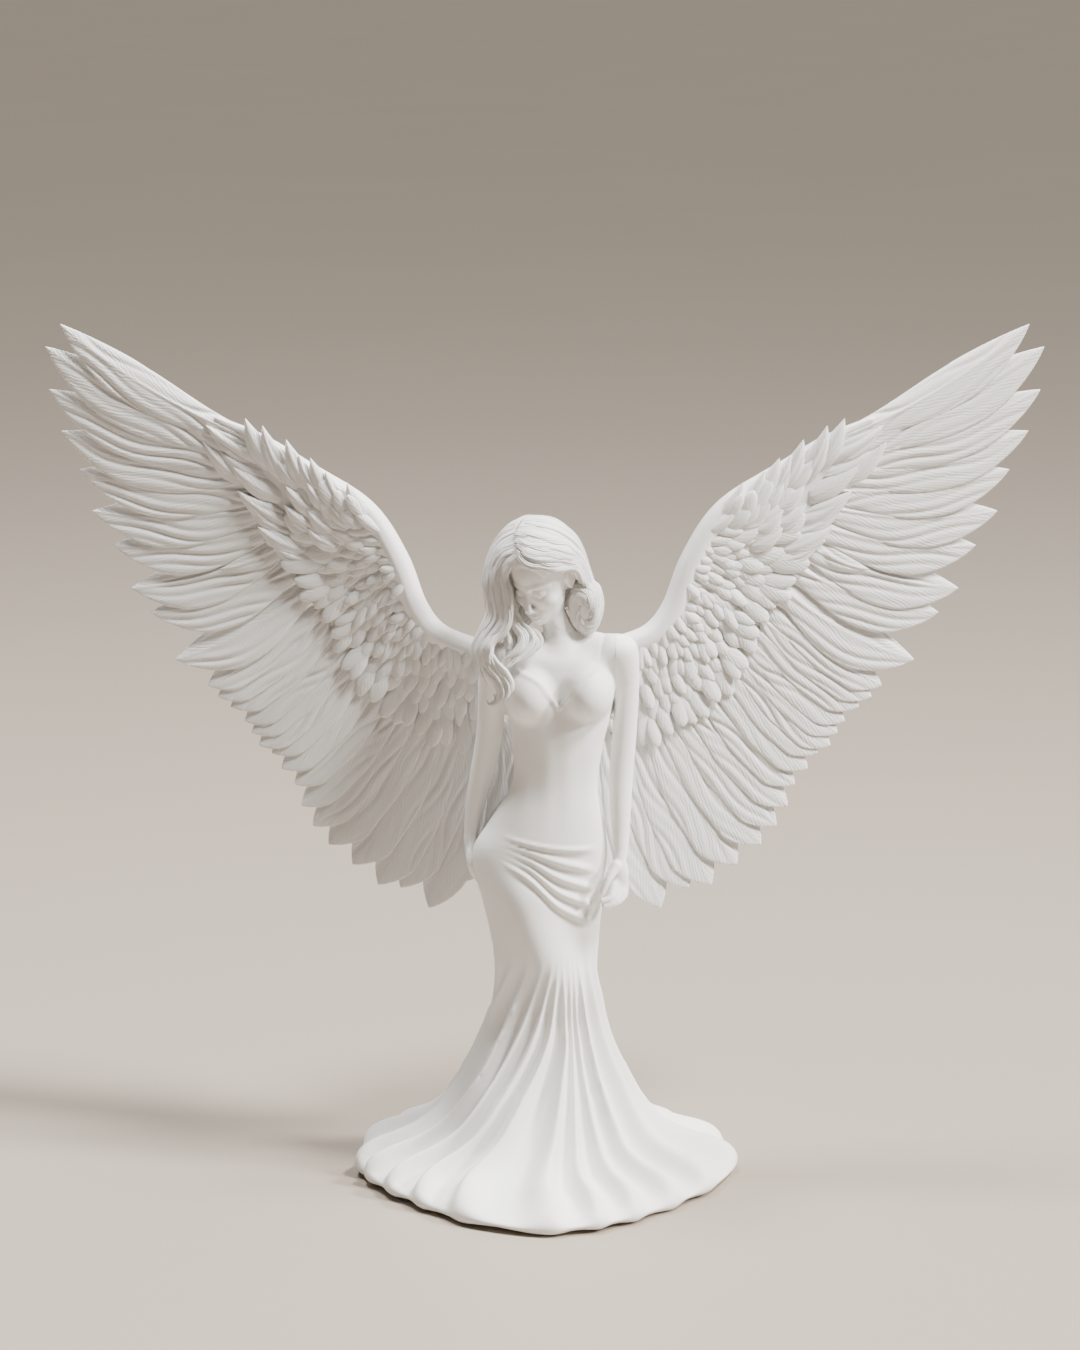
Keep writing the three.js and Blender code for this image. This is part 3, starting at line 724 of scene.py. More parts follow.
def sweptTube(path, radii, steps, around, ripple, lobes):
    # a round bar along a curve, with the twist kept even
    centre = evenly(path, steps)
    tangent = unit(np.gradient(centre, axis=0))
    across = unit(np.cross(tangent, (0.0, 0.0, 1.0)))
    for i in range(1, steps):
        across[i] = unit(across[i - 1] - tangent[i] * np.dot(across[i - 1], tangent[i]))
    second = np.cross(tangent, across)
    share = np.linspace(0, 1, steps)
    radius = profile(radii, share)[:, None]
    turn = np.linspace(0, 2 * math.pi, around, endpoint=False)[None, :]
    swell = radius * (1 + ripple * np.cos(lobes * turn + 5 * share[:, None]))
    ring = (across[:, None] * (swell * np.cos(turn))[..., None]
            + second[:, None] * (swell * np.sin(turn))[..., None])
    return (centre[:, None] + ring)[:, ::-1]


def makeWing(side, sideName):
    # each wing is built on the -X side, and mirrored for her left
    mirror = np.array([-side, 1, 1])

    def finish(name, pile, replaced):
        makePiece(sideName + name, np.vstack(pile.points) * mirror, pile.faces, featherStone,
                  [sideName + part for part in replaced], np.vstack(pile.marks), side > 0)

    primaries, secondaries, front, rear = Pile(), Pile(), Pile(), Pile()
    flightFeathers(primaries, "primary")
    flightFeathers(secondaries, "secondary")
    finish("_primaries", primaries, ["_wing_flight_feathers"])
    finish("_secondaries", secondaries, [])
    covertRows(front, frontRows, 1, 7)
    leafFeathers(front)
    covertBed(front, 1)
    finish("_front_coverts", front, ["_wing_front_coverts"])
    covertRows(rear, rearRows, -1, 11)
    covertBed(rear, -1)
    finish("_rear_coverts", rear, ["_wing_rear_coverts"])

    path = list(sparRoots[side])
    for u, v in sparPath:
        x, z = wingPatch(u, v)[0]
        path.append((side * -x, float(wingDepth(x, z)) - 0.8, z))
    spar = Pile()
    spar.add(sweptTube(path, sparRadius, 150, 28, 0.015, 9))
    makePiece(sideName + "_wing_arm", np.vstack(spar.points), spar.faces, castStone,
              [sideName + "_wing_spar"])


for side, sideName in ((-1, "right"), (1, "left")):
    makeWing(side, sideName)
print("wings ready")


# gown and torso

gown = {
    # height, then how far it reaches to her right, her left, the front and the back
    "stations": [
        (0.5, -63, 64.6, 67.5, 48), (2, -65.6, 66.9, 69.4, 50.2), (3.5, -66.4, 67.4, 69.2, 50.6),
        (5.2, -66.1, 66.6, 67, 49.6), (7, -65, 64.4, 62.5, 47.6), (9, -62.2, 59.5, 57, 44.8),
        (11, -57.8, 52.5, 51.6, 41.8), (13, -52, 46.8, 47.2, 38.6), (16, -45, 41, 42.2, 35.4),
        (20, -39, 36.6, 37.4, 32), (25, -34.4, 32.6, 32.8, 28.8), (33, -29, 28, 26.8, 24),
        (44, -22.9, 23, 20.4, 18.5), (55, -18.6, 19.8, 16.4, 14.9), (67, -16.8, 18.2, 14.4, 12.8),
        (80, -17.9, 18.6, 14, 13), (90, -19.7, 19.3, 13.8, 14.5), (99, -21.8, 20.3, 13.2, 15.8),
        (108, -24.2, 21.2, 12.6, 16), (117, -25.1, 21.8, 12, 14.5), (127, -19.4, 20.5, 10.8, 11.5),
        (140, -11.7, 18.4, 9.4, 8.8), (154, -11.2, 20.1, 9.8, 9), (165, -12.8, 22.6, 10, 10),
        (176, -13.8, 24, 9.4, 10.5), (184, -13.5, 24, 8, 9.6), (192, -12, 23, 6.5, 8.5),
    ],
    "around": 368,
    # rows of points: up to each height, this far apart
    "rows": [(12, 0.6), (95, 1.12), (127, 0.72), (158, 1.3), (178, 0.5)],
    "tiltedRows": 62, "topTilt": 76,
    "shoulderHeight": 188.5,
    "breasts": [((-5.4, -5.4, 173.2), (8.7, 9.4, 9.6)), ((14.4, -5.4, 173.6), (8.7, 9.4, 9.6))],
    "neckline": [(-9.5, 182), (-5.5, 180.6), (-1.4, 178), (1.8, 173.4), (4.9, 169.6), (8, 173.4),
                 (11.6, 177.6), (15.2, 180), (18.5, 182.4)],
    "strap": [(20.6, 194), (19.7, 190.5), (19.1, 187), (18.8, 183.5)],
    # slopes from the neck down onto each shoulder: path, radii
    "slopes": [([(6, 3, 190), (14, 2.6, 189.6), (21, 1.8, 188.4), (26, 1.4, 187)], (4.8, 4.6, 4.6, 4.6)),
               ([(5, 3, 189), (-3, 2.6, 188), (-11, 1.8, 185.6), (-16.5, 1.4, 183.4)], (4.8, 4.5, 4.5, 4.6))],
    # how far across the raised thigh lies at each height
    "thigh": [(60, 7), (72, 4), (88, -3), (104, -9), (118, -15)],
    # long swells and grooves: height, place across (None follows the thigh, plus the offset), width,
    # between which heights each end fades, and on which face
    "bands": [(2.5, None, 0, 8.5, (56, 76), (100, 118), "front"),
              (-1.1, None, 13, 5.5, (62, 80), (92, 102), "front"),
              (-1.6, 4, 0, 3.2, (116, 126), (170, 186), "behind"),
              (-0.2, 4.4, 0, 3.0, (124, 134), (154, 162), "ahead"),
              (-0.9, 4.9, 0, 2.4, (168.4, 171.5), (173, 181), "front")],
    # pairs of rounded swells and hollows: height, two places across, width, place up, width, face
    "pairs": [(3.0, (-11.5, 9.5), 8, 107, 13, "behind"), (1.6, (-6, 15), 6, 172, 9, "behind"),
              (-0.35, (-3.5, 12.5), 3.5, 143, 11, "ahead")],
}
# fold ridges of the skirt: degrees from the front, towards her left, at these heights
foldHeights = (78, 52, 36, 20, 6)
foldAngles = [
    (-62, -108, -112, -110, -108), (-42, -88, -90, -85, -82), (-20, -45, -53, -67, -74),
    (-4, -30, -42, -51, -60), (6, -13, -26, -38, -46), (12, 1, -13, -22, -28), (17, 20, 13, 7, 2),
    (25, 27, 23, 18, 16), (31, 33, 32, 31, 29), (38, 44, 43, 45, 46), (58, 67, 68, 67, 63),
    (84, 92, 94, 92, 88), (112, 118, 118, 116, 112), (140, 144, 143, 140, 136),
    (166, 168, 166, 164, 161), (192, 190, 190, 188, 186), (217, 214, 213, 212, 211),
    (246, 236, 234, 233, 232),
]
foldLook = {"depth": 0.5, "most": 5.4, "sharp": 1.5, "start": (84, 58), "end": (2.0, 9.0), "endShare": 0.2,
            "plan": 0.085}
creaseLook = {"sharp": 1.9, "share": 0.27, "most": 1.6, "start": (-17, -3), "end": (12, 19)}
# the drawn creases at her hip: heights of each ridge at these places across
creaseAcross = (-17, -5, 5, 12, 19)
creaseHeights = [(124.0, 121.2, 119.8, 119.4, 119.6), (121.6, 118.6, 115.3, 113.0, 110.8),
                 (119.6, 115.4, 109.6, 106.8, 104.2), (117.8, 112.6, 104.6, 101.2, 97.8),
                 (116.2, 109.6, 99.6, 95.4, 91.6)]
neckSeam = {"apex": (5.2, 1.4, 178.0), "degrees": 74.0}
neckPath = [(5.8, 2.2, 185), (5.4, 1.4, 191.5), (4.0, 1.0, 197), (1.0, 0.6, 204), (-0.4, 0.6, 210)]
neckRadii = (6.6, 5.2, 4.7, 4.8, 5.0)


def stationCurves(z):
    table = gown["stations"]
    return [profile([(row[0], row[column]) for row in table], z) for column in (1, 2, 3, 4)]


def trunkField(p):
    # hips, waist and ribs, without the shoulders
    x, y, z = p.T
    right, left, front, back = stationCurves(z)
    middle, half = (right + left) / 2, (left - right) / 2
    depth = np.where(y < 0, front, back)
    reach = np.sqrt(((x - middle) / half) ** 2 + (y / depth) ** 2)
    side = (reach - 1) * np.minimum(half, depth)
    return softMax(side, z - gown["shoulderHeight"], 6)


def bodyField(p):
    # trunk, bust, shoulders and neck, all softly joined
    shape = trunkField(p)
    for centre, radii in gown["breasts"]:
        shape = softMin(shape, egg(p, centre, radii), 2.6)
    leftSlope, rightSlope = [rod(p, path, radii, 7) for path, radii in gown["slopes"]]
    shape = softMin(shape, softMin(leftSlope, rightSlope, 2), 5)
    return softMin(shape, rod(p, neckPath, neckRadii, 9), 3.2)


def ridgeWave(place, ridges, sharp):
    # 1 on each ridge and 0 half way between, with the distance between the two ridges around the place
    below = np.clip(sum((place >= ridge).astype(int) for ridge in ridges) - 1, 0, len(ridges) - 2)
    stack = np.stack(ridges)
    first = np.take_along_axis(stack, below[None], 0)[0]
    second = np.take_along_axis(stack, below[None] + 1, 0)[0]
    phase = np.clip((place - first) / np.maximum(second - first, 1e-6), 0, 1)
    wave = (0.5 + 0.5 * np.cos(2 * math.pi * phase)) ** sharp
    return wave, second - first


def foldRelief(angle, z):
    degrees = np.degrees(angle)
    degrees = np.where(degrees < -108, degrees + 360, degrees)
    heights = np.clip(z, foldHeights[-1], foldHeights[0])
    ridges = [profile(list(zip(foldHeights[::-1], row[::-1])), heights) for row in foldAngles]
    ridges.append(ridges[0] + 360)
    wave, gap = ridgeWave(np.maximum(degrees, ridges[0]), ridges, foldLook["sharp"])
    right, left, front, back = stationCurves(z)
    spacing = np.radians(gap) * (left - right + front + back) / 4
    high = np.minimum(foldLook["depth"] * spacing, foldLook["most"])
    fade = 1 - smoothStep(foldLook["start"][1], foldLook["start"][0], z)
    rim = foldLook["endShare"] + (1 - foldLook["endShare"]) * smoothStep(*foldLook["end"], z)
    return high * fade * rim * (wave - 0.42)


def creaseRelief(x, y, z):
    ridges = [profile(list(zip(creaseAcross, row)), x) for row in creaseHeights[::-1]]
    ridges = [ridges[0] - 8] + ridges + [ridges[-1] + 5]
    wave, gap = ridgeWave(z, ridges, creaseLook["sharp"])
    high = np.clip(creaseLook["share"] * gap, 0, creaseLook["most"])
    across = smoothStep(*creaseLook["start"], x) * (1 - smoothStep(*creaseLook["end"], x))
    down = smoothStep(ridges[0] + 2, ridges[1], z) * (1 - smoothStep(ridges[-2], ridges[-2] + 2.4, z))
    return high * across * down * (wave - 0.3) * (y < 0)


def lineRelief(x, z, path, width, fine=60):
    # a low cord along a line seen from the front
    line = curveThrough(path, np.linspace(0, 1, fine))
    flat = np.stack([np.ravel(x), np.ravel(z)], 1)
    nearest = np.full(len(flat), 1e9)
    share = np.zeros(len(flat))
    for i, point in enumerate(line):
        gap = np.linalg.norm(flat - point, axis=1)
        share = np.where(gap < nearest, i / (fine - 1), share)
        nearest = np.minimum(nearest, gap)
    return np.exp(-(nearest / width) ** 2).reshape(np.shape(x)), share.reshape(np.shape(x))


def gownRows():
    heights, z = [0.5], 0.5
    for end, step in gown["rows"]:
        count = max(1, round((end - z) / step))
        heights += np.linspace(z, end, count + 1)[1:].tolist()
        z = end
    return np.array(heights)


def gownPoints():
    # level rows up to the chest, then rows that tilt upwards over the shoulders to the neck
    heights = gownRows()
    tilts = np.radians(np.linspace(0, gown["topTilt"], gown["tiltedRows"] + 1)[1:])
    heights = np.concatenate([heights, np.full(len(tilts), heights[-1])])
    tilts = np.concatenate([np.zeros(len(heights) - len(tilts)), tilts])
    angle = np.linspace(-math.pi, math.pi, gown["around"], endpoint=False)
    angle, z = np.meshgrid(angle, heights)
    tilt = tilts[:, None] + 0 * z
    right, left, front, back = stationCurves(z)
    middle, half = (right + left) / 2, (left - right) / 2
    shift = smoothStep(158, 178, z)
    axis = np.stack([middle + (neckSeam["apex"][0] - middle) * shift, neckSeam["apex"][1] * shift, z], -1)
    depth = np.where(np.cos(angle) > 0, front, back)
    outward = unit(np.stack([np.sin(angle) * half, -np.cos(angle) * depth, 0 * z], -1))
    outward = outward * np.cos(tilt)[..., None] + np.array([0, 0, 1]) * np.sin(tilt)[..., None]
    reach = np.hypot(np.sin(angle) * half, np.cos(angle) * depth)
    # below the bust the profile is the surface; above, look for it along each ray
    upper = heights > 155
    near, far = np.zeros(z[upper].shape), np.full(z[upper].shape, 40.0)
    for _ in range(16):
        trial = (near + far) / 2
        p = axis[upper] + outward[upper] * trial[..., None]
        within = seamField(p.reshape(-1, 3)).reshape(trial.shape) < 0
        near = np.where(within, trial, near)
        far = np.where(within, far, trial)
    reach[upper] = near
    pointed = foldLook["plan"] * np.sin(2 * angle) ** 2 * (np.cos(angle) > 0) * (1 - smoothStep(8, 34, z))
    points = axis + outward * (reach * (1 - pointed))[..., None]
    relief = gownRelief(points, angle)
    relief = relief * (1 - smoothStep(60, 68, np.degrees(tilt)))
    # raise the relief square to the surface
    alongRow = np.roll(points, -1, axis=1) - np.roll(points, 1, axis=1)
    square = unit(np.cross(alongRow, np.gradient(points, axis=0)))
    points = points + square * relief[..., None]
    x, y = points[..., 0], points[..., 1]
    rim = 1 - smoothStep(0.5, 7, z)
    lift = 0.5 - 0.5 * np.cos(angle * 9 + 0.8 * np.sin(angle * 4 + 1))
    points[..., 2] = np.maximum(points[..., 2], 0.5) + 0.6 * rim * lift * smoothStep(20, 50, np.hypot(x, y))
    inner = [points[0] * np.array([share, share, 1]) + np.array([0, 0, rise])
             for share, rise in ((0.3, 0.5), (0.8, 0.4), (0.97, 0.0))]
    lid = points[-1] + (axis[-1] + np.array([0, 0, 12.0]) - points[-1]) * 0.6
    return np.concatenate([np.stack(inner), points, lid[None]])


def gownRelief(points, angle):
    # folds, creases, thigh, back and trim, as heights above the plain surface
    x, y, z = points[..., 0], points[..., 1], points[..., 2]
    faces = {"front": y < 0, "ahead": np.clip(np.cos(angle), 0, 1), "behind": np.clip(-np.cos(angle), 0, 1)}
    thighAcross = profile(gown["thigh"], z)
    relief = foldRelief(angle, z)
    for high, place, offset, width, start, end, face in gown["bands"]:
        middle = (thighAcross if place is None else place) + offset
        fade = smoothStep(*start, z) * (1 - smoothStep(*end, z))
        relief += high * bump(x, middle, width) * fade * faces[face]
    for high, (right, left), width, up, tall, face in gown["pairs"]:
        relief += high * (bump(x, right, width) + bump(x, left, width)) * bump(z, up, tall) * faces[face]
    relief += np.where(z > 84, creaseRelief(x, y, z), 0)
    cord, share = lineRelief(x, z, gown["neckline"], 0.7)
    relief += 1.1 * cord * np.clip(1.3 - 1.9 * np.abs(share - 0.5), 0.3, 1) * faces["front"]
    strap, share = lineRelief(x, z, gown["strap"], 0.55)
    relief -= 0.45 * strap * (1 - share) * (y < 2)
    return relief


# arms and hands

arms = {
    "left": {
        "path": [(26.2, 1.4, 186.8), (28, 2, 180), (28.4, 2.2, 172.5), (27.6, 2.2, 158), (26.6, 1.6, 145),
                 (26.3, -0.4, 133), (26.4, -2.2, 124), (26.3, -4.4, 116.5)],
        "radii": (5.3, 4.6, 4.1, 4.2, 4.2, 3.7, 3.1, 2.45), "seam": 24, "side": 1},
    "right": {
        "path": [(-16.6, 1.4, 183.2), (-18, 2.4, 175), (-18.6, 3.6, 165), (-19.6, 5.2, 155),
                 (-21.6, 6.8, 144), (-23.8, 7.6, 134), (-25.2, 7.6, 126.5), (-25.9, 7.2, 119.5)],
        "radii": (5.2, 4.9, 4.6, 4.5, 4.2, 3.6, 2.9, 2.4), "seam": -15.4, "side": -1},
}
hands = {
    # palm centre, palm radii, then fingers: knuckle, middle joint, tip; thumb last
    "left": {"palm": ((25.7, -6.2, 109.5), (3.4, 2.5, 6.2)),
             "fingers": [((27.6, -5.4, 106.5), (27.4, -7.6, 102.0), (23.6, -10.6, 100.2)),
                         ((26.6, -7.0, 105.6), (26.0, -9.4, 101.2), (22.0, -11.6, 99.6)),
                         ((25.2, -8.2, 105.2), (24.2, -10.8, 101.2), (20.6, -12.2, 99.8)),
                         ((24.0, -8.8, 106.0), (22.8, -11.4, 102.6), (19.9, -12.4, 101.6))],
             "thumb": ((24.6, -8.2, 113.0), (21.8, -11.2, 108.8), (19.8, -12.2, 104.6)), "thickness": 1.22},
    "right": {"palm": ((-26.0, 6.8, 115.6), (2.1, 3.1, 5.2)),
              "fingers": [((-26.2, 8.8, 112.6), (-25.4, 8.8, 108.6), (-23.6, 8.0, 105.6)),
                          ((-26.3, 7.1, 112.0), (-25.5, 6.9, 107.8), (-23.6, 6.3, 104.6)),
                          ((-26.2, 5.4, 112.0), (-25.4, 5.1, 107.9), (-23.7, 4.6, 104.9)),
                          ((-25.9, 3.9, 112.8), (-25.2, 3.4, 109.0), (-24.0, 3.1, 106.4))],
              "thumb": ((-25.8, 5.2, 116.4), (-26.2, 1.9, 113.0), (-25.6, 0.8, 110.2)), "thickness": 1.15},
}


# the space searched for each arm, and how fine the search is
armBoxes = {"left": ((16, -16, 92), (36, 10, 196)), "right": ((-34, -6, 90), (-10, 14, 192))}
armCell = 0.33


def handField(p, name):
    hand = hands[name]
    centre, radii = hand["palm"]
    shape = egg(p, centre, radii)
    thick = hand["thickness"]
    for knuckle, joint, tip in hand["fingers"]:
        start = tuple(0.55 * np.array(knuckle) + 0.45 * np.array(centre))
        finger = rod(p, [start, knuckle, joint, tip], (thick, 1.12 * thick, thick, 0.78 * thick), 9)
        shape = softMin(shape, finger, 0.7)
    thumb = rod(p, list(hand["thumb"]), (1.5 * thick, 1.15 * thick, 0.85 * thick), 7)
    return softMin(shape, thumb, 1.0)


def limbField(p, name):
    arm = arms[name]
    limb = softMin(rod(p, arm["path"], arm["radii"], 22), handField(p, name), 2.0)
    elbow = egg(p, np.array(arm["path"][3]) + np.array([0, 2.6, -3]), (2.6, 2.4, 4.2))
    return softMin(limb, elbow, 2.2)


def seamField(p):
    # the body with both shoulders joined on, cut at the two arm seams
    shape = bodyField(p)
    z = p[:, 2]
    soften = 0.05 + 4.0 * smoothStep(164, 180, z)
    high = smoothStep(160, 168, z)
    for arm in arms.values():
        joined = softMin(shape, rod(p, arm["path"], arm["radii"], 22), soften)
        shape = shape + (joined - shape) * high
    cut = np.maximum(p[:, 0] - arms["left"]["seam"], arms["right"]["seam"] - p[:, 0]) - 0.8
    return np.where(z > 160, np.maximum(shape, cut), shape)


def armField(p, name):
    # the limb, and above the armpit the part of the joined shoulder outside the seam
    arm = arms[name]
    z = p[:, 2]
    limb = limbField(p, name)
    joined = softMin(bodyField(p), limb, 0.05 + 4.0 * smoothStep(164, 180, z))
    outside = arm["side"] * (arm["seam"] - p[:, 0])
    edge = outside + (limb - outside) * (1 - smoothStep(166, 176, z))
    return np.where(z > 163, np.maximum(joined - 0.06 * smoothStep(163, 170, z), edge), limb)


# head

head = {
    "centre": (-1, -2, 215.5), "turn": -30, "bow": 30,
    "cellSize": 0.25, "box": ((-15, -20, 190), (15, 13, 234)),
    # in the head's own directions: x to her left, -y where she faces, z to the crown
    "skull": ((0, 1.2, 2.8), (10.0, 12.0, 11.3)),
    "face": [((0, -3.0, -3.2), (8.1, 8.7, 11.6), 2.0), ((0, -4.3, 5.0), (7.5, 6.9, 6.2), 3.0),
             ((0, -4.4, -9.2), (6.2, 6.5, 5.6), 2.5), ((0, -9.3, -13.3), (2.5, 2.3, 2.0), 2.4)],
    "cheeks": ((4.5, -7.4, -4.4), (3.5, 3.5, 3.3), 2.5),
    "brow": ([(6.3, -8.0, 1.3), (3.7, -10.6, 2.4), (1.0, -11.2, 1.7)], (0.5, 0.85, 0.8), 1.7),
    "socket": ((3.55, -12.4, -0.6), (2.9, 2.1, 1.75), 1.4),
    "eye": ((3.5, -8.95, -1.0), 2.3),
    # from the eye's centre across and forwards, with heights in the head
    "lidFold": ([(-2.0, -1.6, 0.2), (0, -2.2, 1.05), (2.0, -1.2, 0.1)], (0.16, 0.22, 0.16), 0.45),
    "noseBridge": ([(0, -10.7, 1.2), (0, -12.0, -1.6), (0, -13.9, -5.6)], (0.95, 0.85, 1.05), 1.3),
    "noseTip": ((0, -13.9, -6.1), (1.2, 1.25, 1.1), 1.0),
    "noseWing": ((1.2, -12.7, -6.6), (0.8, 1.2, 0.8), 0.75),
    "nostril": ((0.64, -13.0, -7.35), (0.3, 0.5, 0.32), 0.45),
    "mouthMound": ((0, -9.4, -9.9), (3.7, 3.1, 2.9), 2.2),
    "upperLip": ([(2.45, -11.35, -10.2), (0.95, -12.45, -9.65), (0, -12.5, -9.9)], (0.28, 0.58, 0.5), 0.45),
    "lowerLip": ([(2.1, -11.45, -10.75), (0.9, -12.3, -11.15), (0, -12.4, -11.2)], (0.3, 0.66, 0.72), 0.45),
    "lipLine": ([(2.75, -11.25, -10.35), (1.2, -12.7, -10.4), (0, -12.95, -10.42)], (0.12, 0.16, 0.15),
                0.2),
    "chinHollow": ((0, -12.9, -12.45), (2.0, 0.7, 0.5), 0.9),
    "ear": ((9.7, 0.6, -1.8), (1.1, 2.4, 3.5), 0.8),
    "earRim": ([(10.2, -1.0, -2.4), (10.6, -1.4, -0.4), (10.9, -0.6, 1.3), (11.1, 1.2, 1.6),
                (11.1, 2.6, 0.4), (10.9, 2.6, -1.8), (10.5, 1.2, -3.8), (10.1, -0.2, -4.8)],
               (0.35, 0.5, 0.55, 0.6, 0.6, 0.5, 0.6, 0.7), 0.35),
    "earHollow": ((11.2, 0.7, -1.2), (0.9, 1.3, 1.9), 0.4),
}


def turnAbout(axis, degrees):
    c, s = math.cos(math.radians(degrees)), math.sin(math.radians(degrees))
    if axis == "x":
        return np.array([[1, 0, 0], [0, c, -s], [0, s, c]])
    return np.array([[c, -s, 0], [s, c, 0], [0, 0, 1]])


headAxes = turnAbout("z", head["turn"]) @ turnAbout("x", head["bow"])


def aboveCone(p, degrees):
    # negative above a cone that opens upwards from the apex
    x, y, z = (p - np.array(neckSeam["apex"])).T
    return np.hypot(x, y) * math.sin(math.radians(degrees)) - z * math.cos(math.radians(degrees))


def modelled(shape, q, name, steps=8, cut=False):
    # one named part of the head, added or cut away: a rod where a path is given, or else an egg
    place, radii, soften = head[name]
    part = rod(q, place, radii, steps) if isinstance(place, list) else egg(q, place, radii)
    return softMax(shape, -part, soften) if cut else softMin(shape, part, soften)


def eyeField(s, q):
    centre, radius = head["eye"]
    ball = np.linalg.norm(q - np.array(centre), axis=1)
    droop = 0.1 * (q[:, 0] - centre[0]) ** 2
    upperLid = softMax(ball - radius - 0.22, centre[2] - 0.95 + droop - q[:, 2], 0.12)
    lowerLid = softMax(ball - radius - 0.12, q[:, 2] - centre[2] + 1.3 - droop, 0.12)
    s = softMin(s, ball - radius, 0.25)
    s = softMin(s, softMin(upperLid, lowerLid, 0.05), 0.12)
    path, radii, soften = head["lidFold"]
    path = [(centre[0] + x, centre[1] + y, z) for x, y, z in path]
    return softMax(s, -rod(q, path, radii, 7), soften)


def headField(p):
    q = (p - np.array(head["centre"], float)) @ headAxes
    shape = egg(q, *head["skull"])
    for centre, radii, soften in head["face"]:
        shape = softMin(shape, egg(q, centre, radii), soften)
    # the finer parts, the same on both sides, only where they can matter
    near = np.abs(shape) < 3.4
    q = np.stack([np.abs(q[:, 0]), q[:, 1], q[:, 2]], 1)[near]
    s = modelled(shape[near], q, "cheeks")
    s = modelled(s, q, "brow", 7)
    s = modelled(s, q, "socket", cut=True)
    s = eyeField(s, q)
    for name in ("noseBridge", "noseTip", "noseWing", "mouthMound", "upperLip", "lowerLip"):
        s = modelled(s, q, name)
    for name in ("lipLine", "nostril", "chinHollow"):
        s = modelled(s, q, name, cut=True)
    s = modelled(s, q, "ear")
    s = modelled(s, q, "earHollow", cut=True)
    shape[near] = modelled(s, q, "earRim", 16)
    return shape


def headAndNeck(p):
    neck = np.full(len(p), 50.0)
    low = p[:, 2] < 212
    end = np.maximum(aboveCone(p[low], neckSeam["degrees"]), 191 - p[low, 2])
    neck[low] = np.maximum(bodyField(p[low]) - 0.05, end)
    return softMin(headField(p), neck, 2.0)


# hair

hair = {
    "cap": ((0, 2.2, 2.9), (12.0, 14.1, 13.5)),
    # what is cut from the cap: the face, and the temple and ear on her left
    "windows": [((0.4, -13.2, -8.5), (10.5, 12.5, 18.2)), ((11, -6.5, -6), (8, 8.6, 12.6))],
    "capBox": ((-17, -18, 196), (17, 19, 236)), "capCell": 0.7,
    "halfWidth": 2.15, "thickness": 1.15,
}
# guide strands, root to tip, in order from the face to the back of the head
leftGuides = [
    [(-8.9, -12.9, 223.4), (-6.8, -15, 221.4), (-3.6, -16.1, 219.9), (1.7, -15.6, 218.9),
     (6.4, -13.2, 219), (10, -9.2, 217.6), (12.3, -5.2, 214.2), (13.4, -3.4, 210.6), (15.6, -3.6, 207)],
    [(-8.8, -11.5, 226), (-4.9, -14.6, 224.3), (1.7, -14.8, 223.3), (7.3, -11.4, 222.3),
     (11.2, -6.2, 220.2), (13.4, -2.6, 215.5), (14.9, -2, 210.4), (17.6, -2.4, 206), (18.8, -2.6, 201.4)],
    [(-9.6, -7.5, 228.6), (-5.2, -11.4, 228.2), (1.2, -12.6, 227.2), (7.4, -9.6, 225.5),
     (11.5, -4.6, 221.4), (14, -0.8, 215.5), (16, 0.4, 209.6), (18.8, 0.2, 204.6), (19.4, 0, 199.4),
     (17.4, 0.2, 195.6)],
    [(-8.8, -3.6, 231.2), (-3, -7.8, 231.2), (3.6, -8.6, 229.2), (8.7, -5.6, 225.9),
     (12.1, -1.6, 220.9), (14.7, 2.4, 214.4), (16.6, 3.6, 208.2), (18.6, 4.2, 202.4),
     (18.4, 4.6, 197.4), (15.2, 4.6, 194.4)],
    [(-7.2, 0.8, 232.8), (-1, -2.8, 232.9), (5, -3, 230.8), (10, 0, 226.4), (13, 4, 219.8),
     (14.5, 6.6, 212.4), (15, 7.6, 205.8), (14.4, 8.2, 199.8), (11, 8.6, 195.6)],
    [(-5, 4.8, 233), (1, 3.2, 232.6), (6.5, 4.2, 229.6), (10.6, 6.8, 224.2), (12.4, 9.8, 216.6),
     (12.4, 12, 208.6), (9.6, 13.2, 202.2), (4, 13.8, 197.4)],
    [(-3.2, 8.2, 232.2), (2, 8.8, 231.2), (6, 11, 227.6), (8.4, 13.6, 221), (8.4, 15.4, 213),
     (5.4, 16.2, 205), (-1, 15.6, 198.4), (-7.6, 13.6, 192.6)],
    [(-2.4, 9.4, 231.8), (-0.4, 12.8, 228.6), (1.4, 15.8, 222.6), (2, 17.4, 214.6), (0.4, 17.4, 206.6),
     (-4, 16.2, 199.4), (-10, 13.8, 192.6), (-14.6, 11.2, 186.4)],
]
